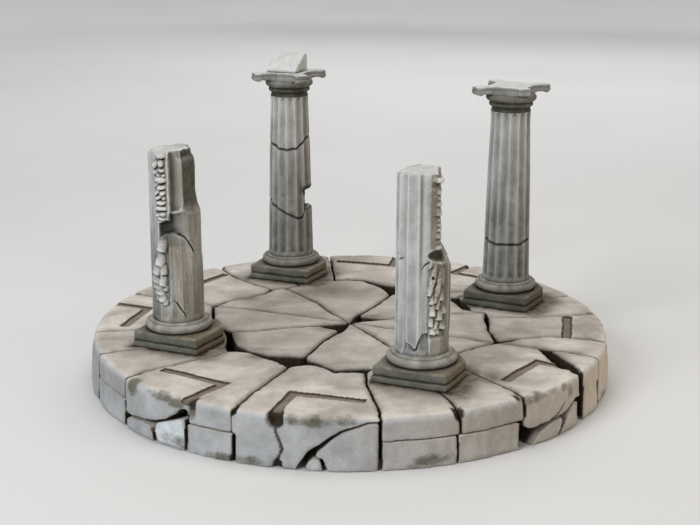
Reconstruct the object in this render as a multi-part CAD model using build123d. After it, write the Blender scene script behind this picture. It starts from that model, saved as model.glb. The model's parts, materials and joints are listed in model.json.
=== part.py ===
from build123d import *
import math
import os

# Miniature ruin: a round plaza of cracked paving with four fluted columns, two of them broken.
# Millimetres, +Z up, the front faces -Y, origin on the underside at the centre of the base.
# Azimuths are in degrees, anticlockwise from +X seen from above.

# ---- base dimensions ----------------------------------------------------------
BASE_H = 18.5            # underside to the paving
RIM_R_BOTTOM = 101.3     # radius of the rim at the table
RIM_R_TOP = 100.2        # radius of the rim just below its top arris
RIM_ARRIS = 1.3          # height and run of the blunted top arris
ARRIS_KNEE = 0.35        # where the arris bends, as a share of RIM_ARRIS
SLAB_T = 8.5             # thickness of the paving slabs
CORE_R = 84.0            # radius of the disc under the slabs
SKIRT_R = 84.2           # inner radius of the rim blocks
JOINT = 0.45             # half width of a joint between slabs
BLOCK_GAP = 0.4          # gap at each end of a rim block, measured at BLOCK_GAP_R
BLOCK_GAP_R = 95.0
COURSE_GAP = 0.25        # gap between the paving and the lower course
KEY_W = 3.4              # width of the key grooves
KEY_D = 0.9              # depth of the key grooves
OVERCUT = 1.0            # how far cutters run past the face they cut

SPLIT_Z = BASE_H - SLAB_T          # underside of the paving slabs
COURSE_Z = SPLIT_Z - COURSE_GAP    # top of the lower course

MIN_EDGE = 0.9           # shorter outline edges are dropped
MITRE_FLOOR = 0.45       # limits the mitre at very sharp corners
BEYOND_RIM_R = 112.0     # outlines close at this radius, outside the rim
BLOCK_OUTER_R = 108.0    # rim blocks and facings start at this radius
FACING_R = 100.5         # radius at which a facing's azimuths become widths
FACING_DEPTH = 22.0      # radial reach of lumps and cuts, from BLOCK_OUTER_R inwards
RUBBLE_DEPTH = 21.5      # the same for rubble and wedges
RUBBLE_LIMIT_Z = BASE_H - 2.0      # clears the top of all rubble and wedges

# ---- column dimensions --------------------------------------------------------
PIN_R = 2.0
PIN_FOOT = 2.6           # height of the pin's lower end
SOCKET_R = 2.08          # running fit on the pin
SOCKET_FLOOR = 2.4
SLAB_HOLE_R = 3.0        # clearance hole through the paving

SEAT_GAP = 0.05          # the columns stand this far above the paving
# about the column axis; the back right corner is knocked off
PLINTH_PLAN = [(-14.5, -12.9), (13.5, -13.5), (15.2, 5.6), (9.5, 12.8), (-14.2, 12.8)]
PLINTH_H = 6.2
PLINTH_LOW_H = 2.6       # height of the lower course of the plinth
PLINTH_STEP = 0.35       # the upper course is this much narrower per side
TORUS_R = 12.6           # outer radius of the base ring
TORUS_H = 3.2
TORUS_TRIM = 0.001       # keeps the torus just inside the flat faces of the ring
FILLET1_R, FILLET1_H = 10.9, 0.45
FILLET2_R, FILLET2_H = 10.5, 0.25
SHAFT_FOOT_R = 9.8
SHAFT_NECK_R = 8.0       # radius at the neck of a whole column
STUMP_TOP_R = 9.4        # radius of the broken shafts at STUMP_Z
FLUTES = 14
FLUTE_R = 2.5
FLUTE_D = 0.75
DRUM_GAP = 0.35          # width of a crack between drums

PLINTH_Z = BASE_H + SEAT_GAP
RING_Z = PLINTH_Z + PLINTH_H
RING_TOP_Z = RING_Z + TORUS_H
FOOT_Z = RING_TOP_Z + FILLET1_H + FILLET2_H
STUMP_PIN_Z = 56.0       # top of the pin and bore in a broken shaft
STUMP_Z = 93.0           # top of the broken shafts
NECK_Z = 98.2            # top of the shaft on a whole column
ECHINUS_Z = 104.9        # top of the echinus
ABACUS_Z = 108.5         # top of the abacus
CROWN_Z = 115.8          # top of the broken block
WHOLE_PIN_Z = ECHINUS_Z + 1.9
ABACUS_BORE_Z = ECHINUS_Z + 2.0

# plinth centre x, y; turn of plinth and abacus; azimuth of one ridge between flutes
COLUMNS = {
    "front_left": (-63.45, -22.7, -23.4, -73.0),
    "back_left": (-26.0, 68.3, -21.3, -70.5),
    "back_right": (64.5, 29.1, -25.3, -96.7),
    "front_right": (25.35, -60.3, -21.9, -77.0),
}
SHAFT_OFFSET_X = {"front_left": -1.25}     # this shaft stands off the middle of its plinth
AXES = {name: (x + SHAFT_OFFSET_X.get(name, 0), y) for name, (x, y, _, _) in COLUMNS.items()}

STANDING = (Align.CENTER, Align.CENTER, Align.MIN)


# ---- shared helpers -----------------------------------------------------------
def save(name, *solids):
    """Writes one node: a single solid, or a group of separate solids."""
    found = [solid for shape in solids for solid in shape.solids()]
    shape = found[0] if len(found) == 1 else Compound(children=found)
    export_step(shape, f"parts/{name}.step")


def largest(shape):
    return max(shape.solids(), key=lambda solid: solid.volume)


def polygon(points):
    return make_face(Polyline(*points, close=True))


def prism(points, bottom, top):
    return extrude(Plane.XY.offset(bottom) * polygon(points), top - bottom)


def disc(radius, bottom, top):
    return Pos(0, 0, bottom) * Cylinder(radius, top - bottom, align=STANDING)


def arc(start, end, radius=BEYOND_RIM_R, steps=5):
    """Points round the origin from azimuth start to end."""
    angles = [math.radians(start + (end - start) * i / steps) for i in range(steps + 1)]
    return [(radius * math.cos(angle), radius * math.sin(angle)) for angle in angles]


def clean(points):
    """Drops points that repeat or nearly repeat their neighbour."""
    kept = []
    for point in points:
        if not kept or math.dist(point, kept[-1]) > MIN_EDGE:
            kept.append(point)
    if math.dist(kept[0], kept[-1]) <= MIN_EDGE:
        kept.pop()
    return kept


def left_normal(start, end):
    along = Vector(end[0] - start[0], end[1] - start[1]).normalized()
    return Vector(-along.Y, along.X)


def inset(points, distance):
    """The outline moved inwards, with mitred corners."""
    corners = clean(points)
    pairs = zip(corners, corners[1:] + corners[:1])
    if sum(p[0] * q[1] - q[0] * p[1] for p, q in pairs) < 0:
        corners = corners[::-1]      # make it anticlockwise
    moved = []
    for i, corner in enumerate(corners):
        before = left_normal(corners[i - 1], corner)
        after = left_normal(corner, corners[(i + 1) % len(corners)])
        mitre = before + after
        scale = max(mitre.X * before.X + mitre.Y * before.Y, MITRE_FLOOR)
        moved.append((corner[0] + mitre.X * distance / scale,
                      corner[1] + mitre.Y * distance / scale))
    return moved


# ---- plan of the hub: joints run outwards from the centre, as (x, y) ------------
CENTRE = (0.0, 0.0)
SPOKE_A = [(-8.4, 15.4), (-13.3, 25.2), (-17.5, 32.9), (-22.4, 39.9), (-28, 46.9)]
SPOKE_B = [(-20, 8.9), (-35, 15.2), (-43.4, 18.2), (-56, 22)]
SPOKE_C = [(-21, -5.2), (-30.8, -8), (-37.8, -10.6), (-46.3, -11.6)]
SPOKE_D = [(-9.8, -21), (-14, -32.2), (-16.8, -40.6)]
SPOKE_E = [(8, -14), (13.6, -25.2), (17.5, -33.5), (22.4, -40.3), (28, -46.9)]
SPOKE_F = [(11.2, -4.9), (18.2, -7.7), (38.5, -16.8), (46, -19.4), (55.3, -24.5)]
SPOKE_G = [(18.2, 5.6), (30, 8.5), (40.6, 11.4), (50, 12.2), (55.3, 12.4)]
SPOKE_H = [(9.8, 21), (14.7, 32.2), (17.2, 38.2)]

# outer edges of the hub slabs, each between the two spokes it is named after
EDGE_HA = [(15.5, 44), (13.5, 48.5), (9.8, 53.2), (5.6, 57.8),
           (-1.4, 59.2), (-7, 58.5), (-13, 55.5), (-20, 51.5)]
EDGE_AB = [(-33, 44.6), (-36.4, 38.5), (-43.4, 32.9), (-51.8, 27.3)]
EDGE_BC = [(-54.6, 7), (-54.2, 0), (-51, -6.5)]
EDGE_CD = [(-44.4, -20), (-42.6, -27), (-37.8, -32.6), (-30.8, -37.5), (-23.8, -39)]
EDGE_DE = [(-15.2, -43.6), (-11.2, -46.4), (-9.4, -49.5), (-5.5, -53.4),
           (7, -52.8), (15, -53), (22, -50)]
EDGE_EF = [(34, -41), (40.6, -35), (49, -28)]
EDGE_FG = [(55, -16.8), (54.2, -8), (53.9, 5)]
EDGE_GH = [(46.6, 17), (44.2, 25), (41.8, 31), (36.5, 35), (30.8, 37.8), (24, 39.4)]

HUB_SLABS = [
    [CENTRE] + SPOKE_A + EDGE_AB + SPOKE_B[::-1],
    [CENTRE] + SPOKE_B + EDGE_BC + SPOKE_C[::-1] + [(-10.5, -2.6)],
    [(-11.9, -4.2)] + SPOKE_C + EDGE_CD + SPOKE_D[::-1] + [(-4.4, -9.4)],
    [CENTRE, (-2.6, -8.6)] + SPOKE_D + EDGE_DE + SPOKE_E[::-1],
    [CENTRE] + SPOKE_E + EDGE_EF + SPOKE_F[::-1],
    [CENTRE] + SPOKE_F + EDGE_FG + SPOKE_G[::-1] + [(10.5, 2.9)],
    [(12.4, 5.0)] + SPOKE_G + EDGE_GH + SPOKE_H[::-1] + [(3.6, 9.0)],
    [CENTRE, (2.2, 8.2)] + SPOKE_H + EDGE_HA + SPOKE_A[::-1],
]

# ---- plan of the ring ---------------------------------------------------------
# joints from the hub to beyond the rim, keyed by the ring slab that each one starts
RADIAL = {
    1: [(-33.6, 45.5), (-43.4, 55.3), (-49, 61.6), (-54.6, 71.4), (-58.8, 78.4), (-63.6, 85.2)],
    2: [(-56, 22), (-61.5, 26.6), (-84, 35.2), (-98.5, 42.2)],
    3: [(-48, -12), (-70, -9.4), (-83.3, -9.3), (-91, -9.8), (-106, -11.4)],
    4: [(-46.8, -28), (-79.8, -30.8), (-86.8, -34), (-99.5, -39.4)],
    5: [(-45.4, -33.6), (-51.8, -39.2), (-61.6, -46.9), (-70, -52.2), (-84, -64.9)],
    6: [(-22.2, -50.4), (-28, -64.4), (-33.6, -77), (-37.8, -88.2), (-42, -98.2)],
    7: [(5.6, -56.2), (5.8, -65.8), (7, -74.2), (9.1, -88.2), (10.9, -107)],
    8: [(22, -50), (32.2, -78.4), (35.8, -90), (38.6, -99.6)],
    9: [(36.6, -39.2), (42, -53.2), (51.8, -67.2), (57.2, -75.6), (61.6, -86.2)],
    11: [(55.3, -24.5), (63, -27.3), (71.4, -30.8), (81.2, -34.3), (96.8, -43.6)],
    12: [(60.6, -22.6), (65.8, -19.2), (75.6, -17), (84, -18.2), (93.8, -21), (103.4, -24.6)],
    13: [(55.3, 7.2), (70, 7), (82.6, 8.4), (106, 12.9)],
    14: [(48.4, 21.5), (82.6, 32.9), (99.4, 38.6)],
    15: [(45.4, 33.6), (51.8, 39.2), (61.6, 46.9), (70, 52.2), (84, 64.9)],
    16: [(22.2, 50.4), (28, 64.4), (33.6, 77), (37.8, 88.2), (42, 98.2)],
    17: [(-6.4, 60.4), (-7.2, 70), (-8.5, 85), (-10.4, 106)],
    18: [(-22, 50.6), (-32.2, 78.4), (-35.8, 90), (-38.6, 99.6)],
}


def ring(start, inner, end):
    """Outline of a ring slab: out along start, round the rim, back along end and inner."""
    first, last = [math.degrees(math.atan2(joint[-1][1], joint[-1][0])) for joint in (start, end)]
    while last < first:
        last += 360
    return start + arc(first, last) + end[::-1] + inner


RING_SLABS = {
    1: ring(RADIAL[1], EDGE_AB[:0:-1], RADIAL[2]),
    2: ring(RADIAL[2], [(-48, -12), (-51.6, -6), (-54.8, 0.4), (-55.2, 7)], RADIAL[3][1:]),
    3: ring(RADIAL[3], [(-46.8, -20)], RADIAL[4]),
    4: ring(RADIAL[4], [], RADIAL[5]),
    5: ring(RADIAL[5], [(-26.6, -44.5), (-30.8, -41), (-36.4, -35.6), (-41, -34)], RADIAL[6]),
    6: ring(RADIAL[6], [(-5, -56), (-9.2, -51.2), (-12.6, -48.4), (-17.6, -48.6)], RADIAL[7]),
    7: ring(RADIAL[7], [(15, -53.4), (7, -53.6)], RADIAL[8]),
    8: ring(RADIAL[8], [(34, -41), (28, -46.9)], RADIAL[9]),
    9: RADIAL[9] + arc(-54.45, -35.6)
       + [(80.8, -57.2), (76.9, -51.6), (74.2, -44.6), (72.6, -38.5), (71.2, -31)]
       + RADIAL[11][:2][::-1] + [(49, -28), (40.6, -35)],
    # an odd piece at the rim, let into slab 9
    10: [(74.2, -32.4), (81.2, -34.3), (96.8, -43.6), (99.5, -55), (90.5, -60.4),
         (82.2, -54.8), (80.7, -48.4), (77.5, -39.6), (76.2, -36)],
    11: RADIAL[11] + arc(-24.2, -13.4) + RADIAL[12][::-1],
    12: RADIAL[12][1:] + arc(-13.4, 6.95) + RADIAL[13][::-1]
        + [(54.2, -8), (55.2, -16.8), (56.4, -22.4)],
    13: ring(RADIAL[13], [(49.4, 15.0), (55.3, 13.2)], RADIAL[14]),
    14: ring(RADIAL[14], [(47.0, 28)], RADIAL[15]),
    15: ring(RADIAL[15], [(26.6, 44.5), (30.8, 41), (36.4, 35.6), (41, 34)], RADIAL[16]),
    16: ring(RADIAL[16], [(-1.4, 60.9), (6.4, 59.6), (11.4, 54.6), (17, 50.6)], RADIAL[17]),
    17: ring(RADIAL[17], [(-20, 51.5), (-13, 55.5), (-7, 58.7)], RADIAL[18]),
    18: ring(RADIAL[18], [(-33, 45), (-28.2, 47)], RADIAL[1]),
}

# bent or straight centre lines of the key grooves, by ring slab
KEYS = {
    5: [(-65.8, -54.6), (-44.1, -67.9), (-57.3, -85.4)],
    6: [(3.5, -84.0), (-19.6, -77.0), (-27.2, -102.0)],
    9: [(55.3, -63.7), (68.6, -45.5), (79.5, -53.0)],
    12: [(86.9, 5.6), (83.0, -17.6)],
    2: [(-88.2, -3.5), (-82.6, 18.2), (-99.0, 25.0)],
    1: [(-56.0, 66.3), (-68.5, 47.5), (-84.0, 57.5)],
    16: [(-4.2, 88.2), (18.9, 81.9), (22.5, 100.5)],
    15: [(63.5, 58.0), (46.2, 70.0), (59.6, 88.6)],
}

# ---- layout of the rim, in azimuths ---------------------------------------------
# skirts that hang below the paving: ring slab -> azimuth from, to
SKIRTS = {
    2: (157.0, 185.7),
    3: (-173.7, -158.4),
    6: (-112.6, -84.3),
    10: (-33.7, -25.2),
    11: (-24.4, -13.5),
    12: (-13.2, 6.8),
    16: (67.4, 95.5),
}
# blocks of the lower course: azimuth from, to
COURSES = {
    "front": [(-123.6, -112.9), (-84.0, -69.1), (-69.1, -54.8)],
    "left": [(-158.4, -142.5), (146.4, 156.8)],
    "right": [(7.0, 21.2), (21.2, 37.2)],
    "back": [(56.4, 67.1), (96.0, 111.2), (111.2, 126.6)],
}

# Breaks in the rim. A lump hangs from the slab to an uneven lower edge, a hollow is broken
# away beside it, and rubble lies below. Outlines are (azimuth, height).
HOLLOW_BREAK = {
    "middle": -134.5,
    "ends": (-142.2, -123.8),
    "lump": [(-142.1, 10.0), (-142.1, 6.2), (-140.5, 5.6), (-135.1, 6.7),
             (-131.0, 8.2), (-128.2, 9.8), (-127.9, 10.0)],
    "hollow": [(-127.9, 9.0), (-127.8, 10.4), (-125.9, 12.7), (-125.3, 14.4),
               (-123.5, 14.6), (-123.5, 9.0)],
    "rubble": [
        [(-141.4, 0), (-141.2, 3.8), (-140.0, 4.9), (-135.0, 5.9),
         (-132.6, 5.2), (-131.9, 2.4), (-132.3, 0)],
        [(-131.0, 0), (-131.2, 4.8), (-130.9, 7.5), (-127.8, 9.5),
         (-125.6, 11.0), (-123.9, 11.5), (-123.9, 0)],
    ],
}
PLAIN_BREAK = {
    "middle": -46.3,
    "ends": (-54.2, -36.4),
    "lump": [(-54.2, 10.0), (-54.2, 8.4), (-52.6, 6.3), (-47.1, 6.9),
             (-42.5, 7.6), (-40.0, 8.8), (-38.6, 10.0)],
    "rubble": [
        [(-51.6, 0), (-49.4, 4.2), (-46.6, 6.1), (-43.4, 6.8), (-42.9, 5.0), (-44.4, 0)],
        [(-43.4, 0), (-41.6, 5.6), (-39.0, 8.8), (-36.9, 9.0), (-36.7, 0)],
    ],
}
LUMP_OVERRUN = 1.5       # the lump's sector runs this many degrees past its outline
# ring slab -> place, shape of the break, and its turn round the base
BREAKS = {
    5: ("front_left", HOLLOW_BREAK, 0),
    9: ("front_right", PLAIN_BREAK, 0),
    15: ("back_right", HOLLOW_BREAK, 180),
    1: ("back_left", HOLLOW_BREAK, 270),
}

# A diagonal crack parts a wedge from the slab's skirt, with a chip at the wedge's foot.
WEDGE = [(-84.6, 0), (-84.6, 16.3), (-86.2, 16.3), (-91.3, 13.4), (-93.3, 10.6),
         (-96.1, 5.8), (-96.4, 4.6), (-95.2, 4.4), (-94.7, 3.1), (-93.9, 0)]
CHIP = [(-98.4, 0), (-97.8, 2.1), (-96.6, 3.8), (-95.5, 3.6), (-95.0, 0)]
WEDGE_CUT = [(-83.6, -1), (-83.6, 16.65), (-86.0, 16.75), (-91.5, 14.1),
             (-94.8, 10.0), (-97.4, 6.9), (-99.9, 1.0), (-100.4, -1)]
WEDGE_MIDDLE = -92
WEDGE_ENDS = (-104, -84.4)
WEDGE_TURNS = {6: 0, 16: 180}      # ring slab -> turn round the base


# ---- base pieces --------------------------------------------------------------
def rim_envelope():
    """The round body that everything at the rim is trimmed to."""
    knee = RIM_ARRIS * ARRIS_KNEE
    profile = [(0, 0), (RIM_R_BOTTOM, 0), (RIM_R_TOP, BASE_H - RIM_ARRIS),
               (RIM_R_TOP - knee, BASE_H - knee), (RIM_R_TOP - RIM_ARRIS, BASE_H), (0, BASE_H)]
    return revolve(Plane.XZ * polygon(profile), Axis.Z, 360)


ENVELOPE = rim_envelope()


def sector(start, end, top):
    """A rim block from z = 0 between two azimuths, with a gap at each end."""
    gap = math.degrees(BLOCK_GAP / BLOCK_GAP_R)
    start, end = start + gap, end - gap
    steps = max(2, int((end - start) / 6) + 1)
    inner = arc(start, end, SKIRT_R, steps)
    return prism(inner[::-1] + arc(start, end, BLOCK_OUTER_R, steps), 0, top) & ENVELOPE


def facing(middle, outline, turn, depth=FACING_DEPTH):
    """A prism of (azimuth, height) outline, running inwards through the rim at middle + turn."""
    points = [(FACING_R * math.tan(math.radians(azimuth - middle)), z) for azimuth, z in outline]
    angle = math.radians(middle + turn)
    cosine, sine = math.cos(angle), math.sin(angle)
    plane = Plane(origin=(BLOCK_OUTER_R * cosine, BLOCK_OUTER_R * sine, 0),
                  x_dir=(-sine, cosine, 0), z_dir=(cosine, sine, 0))
    return extrude(plane * polygon(points), -depth)


def key_groove(line):
    """Cutter for the groove along a line: one box per leg."""
    height = KEY_D + OVERCUT
    groove = None
    for start, end in zip(line, line[1:]):
        turn = math.degrees(math.atan2(end[1] - start[1], end[0] - start[0]))
        middle = Pos((start[0] + end[0]) / 2, (start[1] + end[1]) / 2, BASE_H - KEY_D + height / 2)
        leg = middle * Rot(0, 0, turn) * Box(math.dist(start, end) + KEY_W, KEY_W, height)
        groove = leg if groove is None else groove + leg
    return groove


def hole_reaches(outline, x, y):
    """True if a column's hole at x, y could touch the outline or its inside."""
    xs, ys = zip(*outline)
    return (min(xs) - SLAB_HOLE_R < x < max(xs) + SLAB_HOLE_R
            and min(ys) - SLAB_HOLE_R < y < max(ys) + SLAB_HOLE_R)


def core_disc():
    core = disc(CORE_R, 0, SPLIT_Z)
    for x, y in AXES.values():
        core -= Pos(x, y, 0) * disc(SOCKET_R, SOCKET_FLOOR, SOCKET_FLOOR + SPLIT_Z)
    return core


def ring_slab(number):
    outline = RING_SLABS[number]
    slab = prism(inset(outline, JOINT), SPLIT_Z, BASE_H + OVERCUT) & ENVELOPE
    if number in SKIRTS:
        slab += sector(*SKIRTS[number], SPLIT_Z)
    if number in WEDGE_TURNS:
        slab -= facing(WEDGE_MIDDLE, WEDGE_CUT, WEDGE_TURNS[number])
    if number in BREAKS:
        _, shape, turn = BREAKS[number]
        lump = shape["lump"]
        start, end = lump[0][0] + turn, lump[-1][0] + turn + LUMP_OVERRUN
        slab += facing(shape["middle"], lump, turn) & sector(start, end, SPLIT_Z)
        if "hollow" in shape:
            slab -= facing(shape["middle"], shape["hollow"], turn)
    if number in KEYS:
        slab -= key_groove(KEYS[number])
    for x, y in AXES.values():
        if hole_reaches(outline, x, y):
            slab -= Pos(x, y, 0) * disc(SLAB_HOLE_R, SPLIT_Z - OVERCUT, BASE_H + OVERCUT)
    return largest(slab)


def loose_pieces(outlines, middle, ends, turn):
    """Separate pieces lying in the rim, each trimmed to the sector between the ends."""
    room = sector(ends[0] + turn, ends[1] + turn, RUBBLE_LIMIT_Z)
    return [facing(middle, outline, turn, RUBBLE_DEPTH) & room for outline in outlines]


def save_base():
    save("core_disc", core_disc())
    for i, outline in enumerate(HUB_SLABS, 1):
        save(f"hub_slab_{i}", largest(prism(inset(outline, JOINT), SPLIT_Z, BASE_H)))
    for number in RING_SLABS:
        save(f"ring_slab_{number:02d}", ring_slab(number))
    for side, blocks in COURSES.items():
        save(f"rim_course_{side}", *[sector(start, end, COURSE_Z) for start, end in blocks])
    for place, shape, turn in BREAKS.values():
        save(f"rubble_{place}",
             *loose_pieces(shape["rubble"], shape["middle"], shape["ends"], turn))
    wedges = []
    for turn in WEDGE_TURNS.values():
        wedges += loose_pieces((WEDGE, CHIP), WEDGE_MIDDLE, WEDGE_ENDS, turn)
    save("rim_wedges", *wedges)


# ---- column pieces ------------------------------------------------------------
def on_axis(shape, name):
    """Moves a shape to the axis of the column's shaft."""
    return Pos(*AXES[name], 0) * shape


def turned(shape, name):
    """Moves a shape to the middle of the column's plinth and turns it with the plinth."""
    x, y, turn, _ = COLUMNS[name]
    return Pos(x, y, 0) * Rot(0, 0, turn) * shape


def bore(bottom, top):
    return disc(PIN_R, bottom, top)


def front_cut(points):
    """Cutter right through the column from front to back, with an (x, z) outline."""
    return extrude(Plane.XZ.offset(-20) * polygon(points), 40)


def crack(line):
    """A thin gap across the shaft along a line of (x, z) points."""
    half = DRUM_GAP / 2
    return front_cut([(x, z + half) for x, z in line] + [(x, z - half) for x, z in line[::-1]])


def plinth(name):
    """Two courses, bored on the axis of the shaft."""
    step_z = PLINTH_Z + PLINTH_LOW_H
    body = prism(PLINTH_PLAN, PLINTH_Z, step_z)
    body += prism(inset(PLINTH_PLAN, PLINTH_STEP), step_z, RING_Z)
    return turned(body, name) - on_axis(bore(PLINTH_Z - OVERCUT, RING_Z + OVERCUT), name)


def base_ring():
    half = TORUS_H / 2
    middle_r = TORUS_R - half
    fillet_z = RING_TOP_Z + FILLET1_H
    body = disc(middle_r, RING_Z, RING_TOP_Z)
    body += Pos(0, 0, RING_Z + half) * Torus(middle_r, half - TORUS_TRIM)
    body += disc(FILLET1_R, RING_TOP_Z, fillet_z)
    body += disc(FILLET2_R, fillet_z, FOOT_Z)
    return body - bore(RING_Z - OVERCUT, FOOT_Z + OVERCUT)


def flute_plan(z, radius, ridge):
    """Section of the shaft at height z, with a ridge at azimuth ridge."""
    plan = Circle(radius)
    for i in range(FLUTES):
        turn = Rot(0, 0, ridge + 360 / FLUTES * (i + 0.5))
        plan -= turn * Pos(radius + FLUTE_R - FLUTE_D, 0) * Circle(FLUTE_R)
    return Plane.XY.offset(z) * plan


def shaft(name, top, top_radius, bore_top):
    """Tapering fluted shaft, bored for its pin."""
    ridge = COLUMNS[name][3]
    sections = [flute_plan(FOOT_Z, SHAFT_FOOT_R, ridge), flute_plan(top, top_radius, ridge)]
    return loft(sections, ruled=True) - bore(FOOT_Z - OVERCUT, bore_top)


def front_left_shaft():
    """Skin split away down the front, and the right side lost near the top."""
    stump = shaft("front_left", STUMP_Z, STUMP_TOP_R, STUMP_PIN_Z)
    # right side
    stump -= front_cut([(7.4, 73), (7.4, 89), (5.8, 90.5), (5.8, 96),
                        (14, 96), (14, 69), (9.4, 69)])
    # split skin, and the rounded lower end of the split
    stump -= Pos(-0.4, -9.4, 70) * Cylinder(2.6, 30, align=STANDING)
    stump -= Pos(-5.6, -9.4, 67) * Box(6.0, 2.6, 30, align=STANDING)
    stump -= Pos(-1.5, -9.6, 65.3) * Rot(0, 90, 0) * Cylinder(1.7, 12)
    # sloping top
    stump -= front_cut([(-14, 92.0), (14, 93.4), (14, 99), (-14, 99)])
    return largest(stump)


def front_right_shaft():
    """Skin split away in two strips down the front right."""
    stump = shaft("front_right", STUMP_Z, STUMP_TOP_R, STUMP_PIN_Z)
    # upper strip and its rounded lower end
    stump -= Pos(7.6, -8.2, 66) * Rot(0, 0, 45) * Box(7.5, 3.4, 30, align=STANDING)
    stump -= Pos(4.6, -8.6, 64.6) * Rot(0, 90, 30) * Cylinder(1.8, 9)
    # lower strip
    stump -= Pos(3.4, -9.9, 36) * Rot(0, 0, 22) * Box(6.4, 2.4, 26.5, align=STANDING)
    # uneven top
    stump -= front_cut([(-14, 91.4), (-2, 92.8), (14, 92.8), (14, 99), (-14, 99)])
    return largest(stump)


# cracks across the whole columns, (x, z) about the column axis
BACK_LEFT_CRACKS = [
    [(-14, 79.4), (-8, 78.0), (-5, 76.4), (-1.5, 75.7), (3.5, 76.3), (6.5, 78.6),
     (9, 81.3), (14, 83)],
    [(-14, 54.5), (-8.5, 52.7), (-7, 51), (-2.3, 48.3), (0, 47.3), (3.5, 45.5),
     (5.6, 45.9), (6.4, 49.4), (14, 50.4)],
]
BACK_RIGHT_CRACKS = [
    [(-14, 46.5), (-9.5, 45.8), (-6, 44.3), (0, 44.6), (5, 44.4), (6, 45.4), (14, 46)],
]
# chip off the right of the back left column's middle drum
DRUM_CHIP = [(5.9, 49.6), (6.2, 57.4), (14, 58.2), (14, 50.5)]
MIN_DRUM_VOLUME = 500    # smaller fragments are left out


def save_drums(name, cracks, chips, parts):
    """Whole shaft parted by cracks; parts names the drums from the bottom up."""
    whole = shaft(name, NECK_Z, SHAFT_NECK_R, NECK_Z + OVERCUT)
    for line in cracks:
        whole -= crack(line)
    for chip in chips:
        whole -= front_cut(chip)
    drums = [solid for solid in whole.solids() if solid.volume > MIN_DRUM_VOLUME]
    drums.sort(key=lambda solid: solid.center().Z)
    for part, drum in zip(parts, drums):
        save(f"{name}_drum_{part}", on_axis(drum, name))


# neck and echinus: radius beyond the neck's, height as a part of CAPITAL_PARTS
CAPITAL_PARTS = 4.8
CAPITAL_PROFILE = [
    (0, 0), (0, 0.5), (-0.4, 0.7), (-0.3, 1.2), (0.6, 1.6), (0.9, 2.1),
    (0.7, 2.6), (1.3, 2.8), (2.0, 3.3), (2.2, 3.9), (1.9, CAPITAL_PARTS),
]


def capital():
    part_h = (ECHINUS_Z - NECK_Z) / CAPITAL_PARTS
    outside = [(SHAFT_NECK_R + out, NECK_Z + up * part_h) for out, up in CAPITAL_PROFILE]
    profile = [(PIN_R, NECK_Z)] + outside + [(PIN_R, ECHINUS_Z)]
    return revolve(Plane.XZ * polygon(profile), Axis.Z, 360)


ABACUS_SIDE = 16.4
ARM_L, ARM_W = 16.2, 5.4
BROKEN_ARM_L = 12.2
ARM_RAISE = 0.4          # underside of the arms above that of the slab
SCROLL_R = 1.7
SCROLL_INSET = 1.6       # scroll's axis in from the arm's end
SCROLL_EXTRA_W = 0.8     # the scroll is this much wider than the arm


def abacus(broken_arms):
    """A square slab with a scroll-ended arm at each corner; broken arms are short and plain."""
    height = ABACUS_Z - ECHINUS_Z
    body = Pos(0, 0, ECHINUS_Z) * Box(ABACUS_SIDE, ABACUS_SIDE, height, align=STANDING)
    for i in range(4):
        turn = Rot(0, 0, 45 + 90 * i)
        broken = i in broken_arms
        body += Pos(0, 0, ECHINUS_Z + ARM_RAISE) * turn * Box(
            BROKEN_ARM_L if broken else ARM_L, ARM_W, height - ARM_RAISE,
            align=(Align.MIN, Align.CENTER, Align.MIN))
        if not broken:
            scroll = Rot(90, 0, 0) * Cylinder(SCROLL_R, ARM_W + SCROLL_EXTRA_W)
            body += turn * Pos(ARM_L - SCROLL_INSET, 0, ECHINUS_Z + SCROLL_R) * scroll
    return body - bore(ECHINUS_Z - OVERCUT, ABACUS_BORE_Z)


def crown_block():
    """Block on the abacus, its front broken away in one long slope."""
    block = extrude(Plane.XY.offset(ABACUS_Z) * Pos(-1.0, 0) * Rectangle(14.0, 13.2), 12)
    block &= Pos(0, 0, ABACUS_Z) * Box(40, 40, 2 * (CROWN_Z - ABACUS_Z))
    # (y, z) outline of the slope
    slope = [(-12, ABACUS_Z + 0.9), (-6.6, ABACUS_Z + 0.9), (-5.6, ABACUS_Z + 1.8),
             (3.2, CROWN_Z), (3.2, 125), (-12, 125)]
    block -= extrude(Plane.YZ.offset(-20) * polygon(slope), 40)
    # upper left edge
    block -= front_cut([(-12, 113.0), (-8.0, 113.0), (-6.8, CROWN_Z), (-6.8, 125), (-12, 125)])
    return largest(block)


def save_columns():
    for name in COLUMNS:
        pin_top = STUMP_PIN_Z if name.startswith("front") else WHOLE_PIN_Z
        save(f"{name}_pin", on_axis(disc(PIN_R, PIN_FOOT, pin_top), name))
        save(f"{name}_plinth", plinth(name))
        save(f"{name}_base_ring", on_axis(base_ring(), name))
    save("front_left_shaft", on_axis(front_left_shaft(), "front_left"))
    save("front_right_shaft", on_axis(front_right_shaft(), "front_right"))
    save_drums("back_left", BACK_LEFT_CRACKS, [DRUM_CHIP], ("lower", "middle", "upper"))
    save_drums("back_right", BACK_RIGHT_CRACKS, [], ("lower", "upper"))
    # the back right abacus has lost its front arm
    for name, broken_arms in (("back_left", ()), ("back_right", (3,))):
        save(f"{name}_capital", on_axis(capital(), name))
        save(f"{name}_abacus", turned(abacus(broken_arms), name))
    save("back_left_crown_block", turned(crown_block(), "back_left"))


os.makedirs("parts", exist_ok=True)
save_base()
save_columns()
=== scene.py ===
import json
import math

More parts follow.
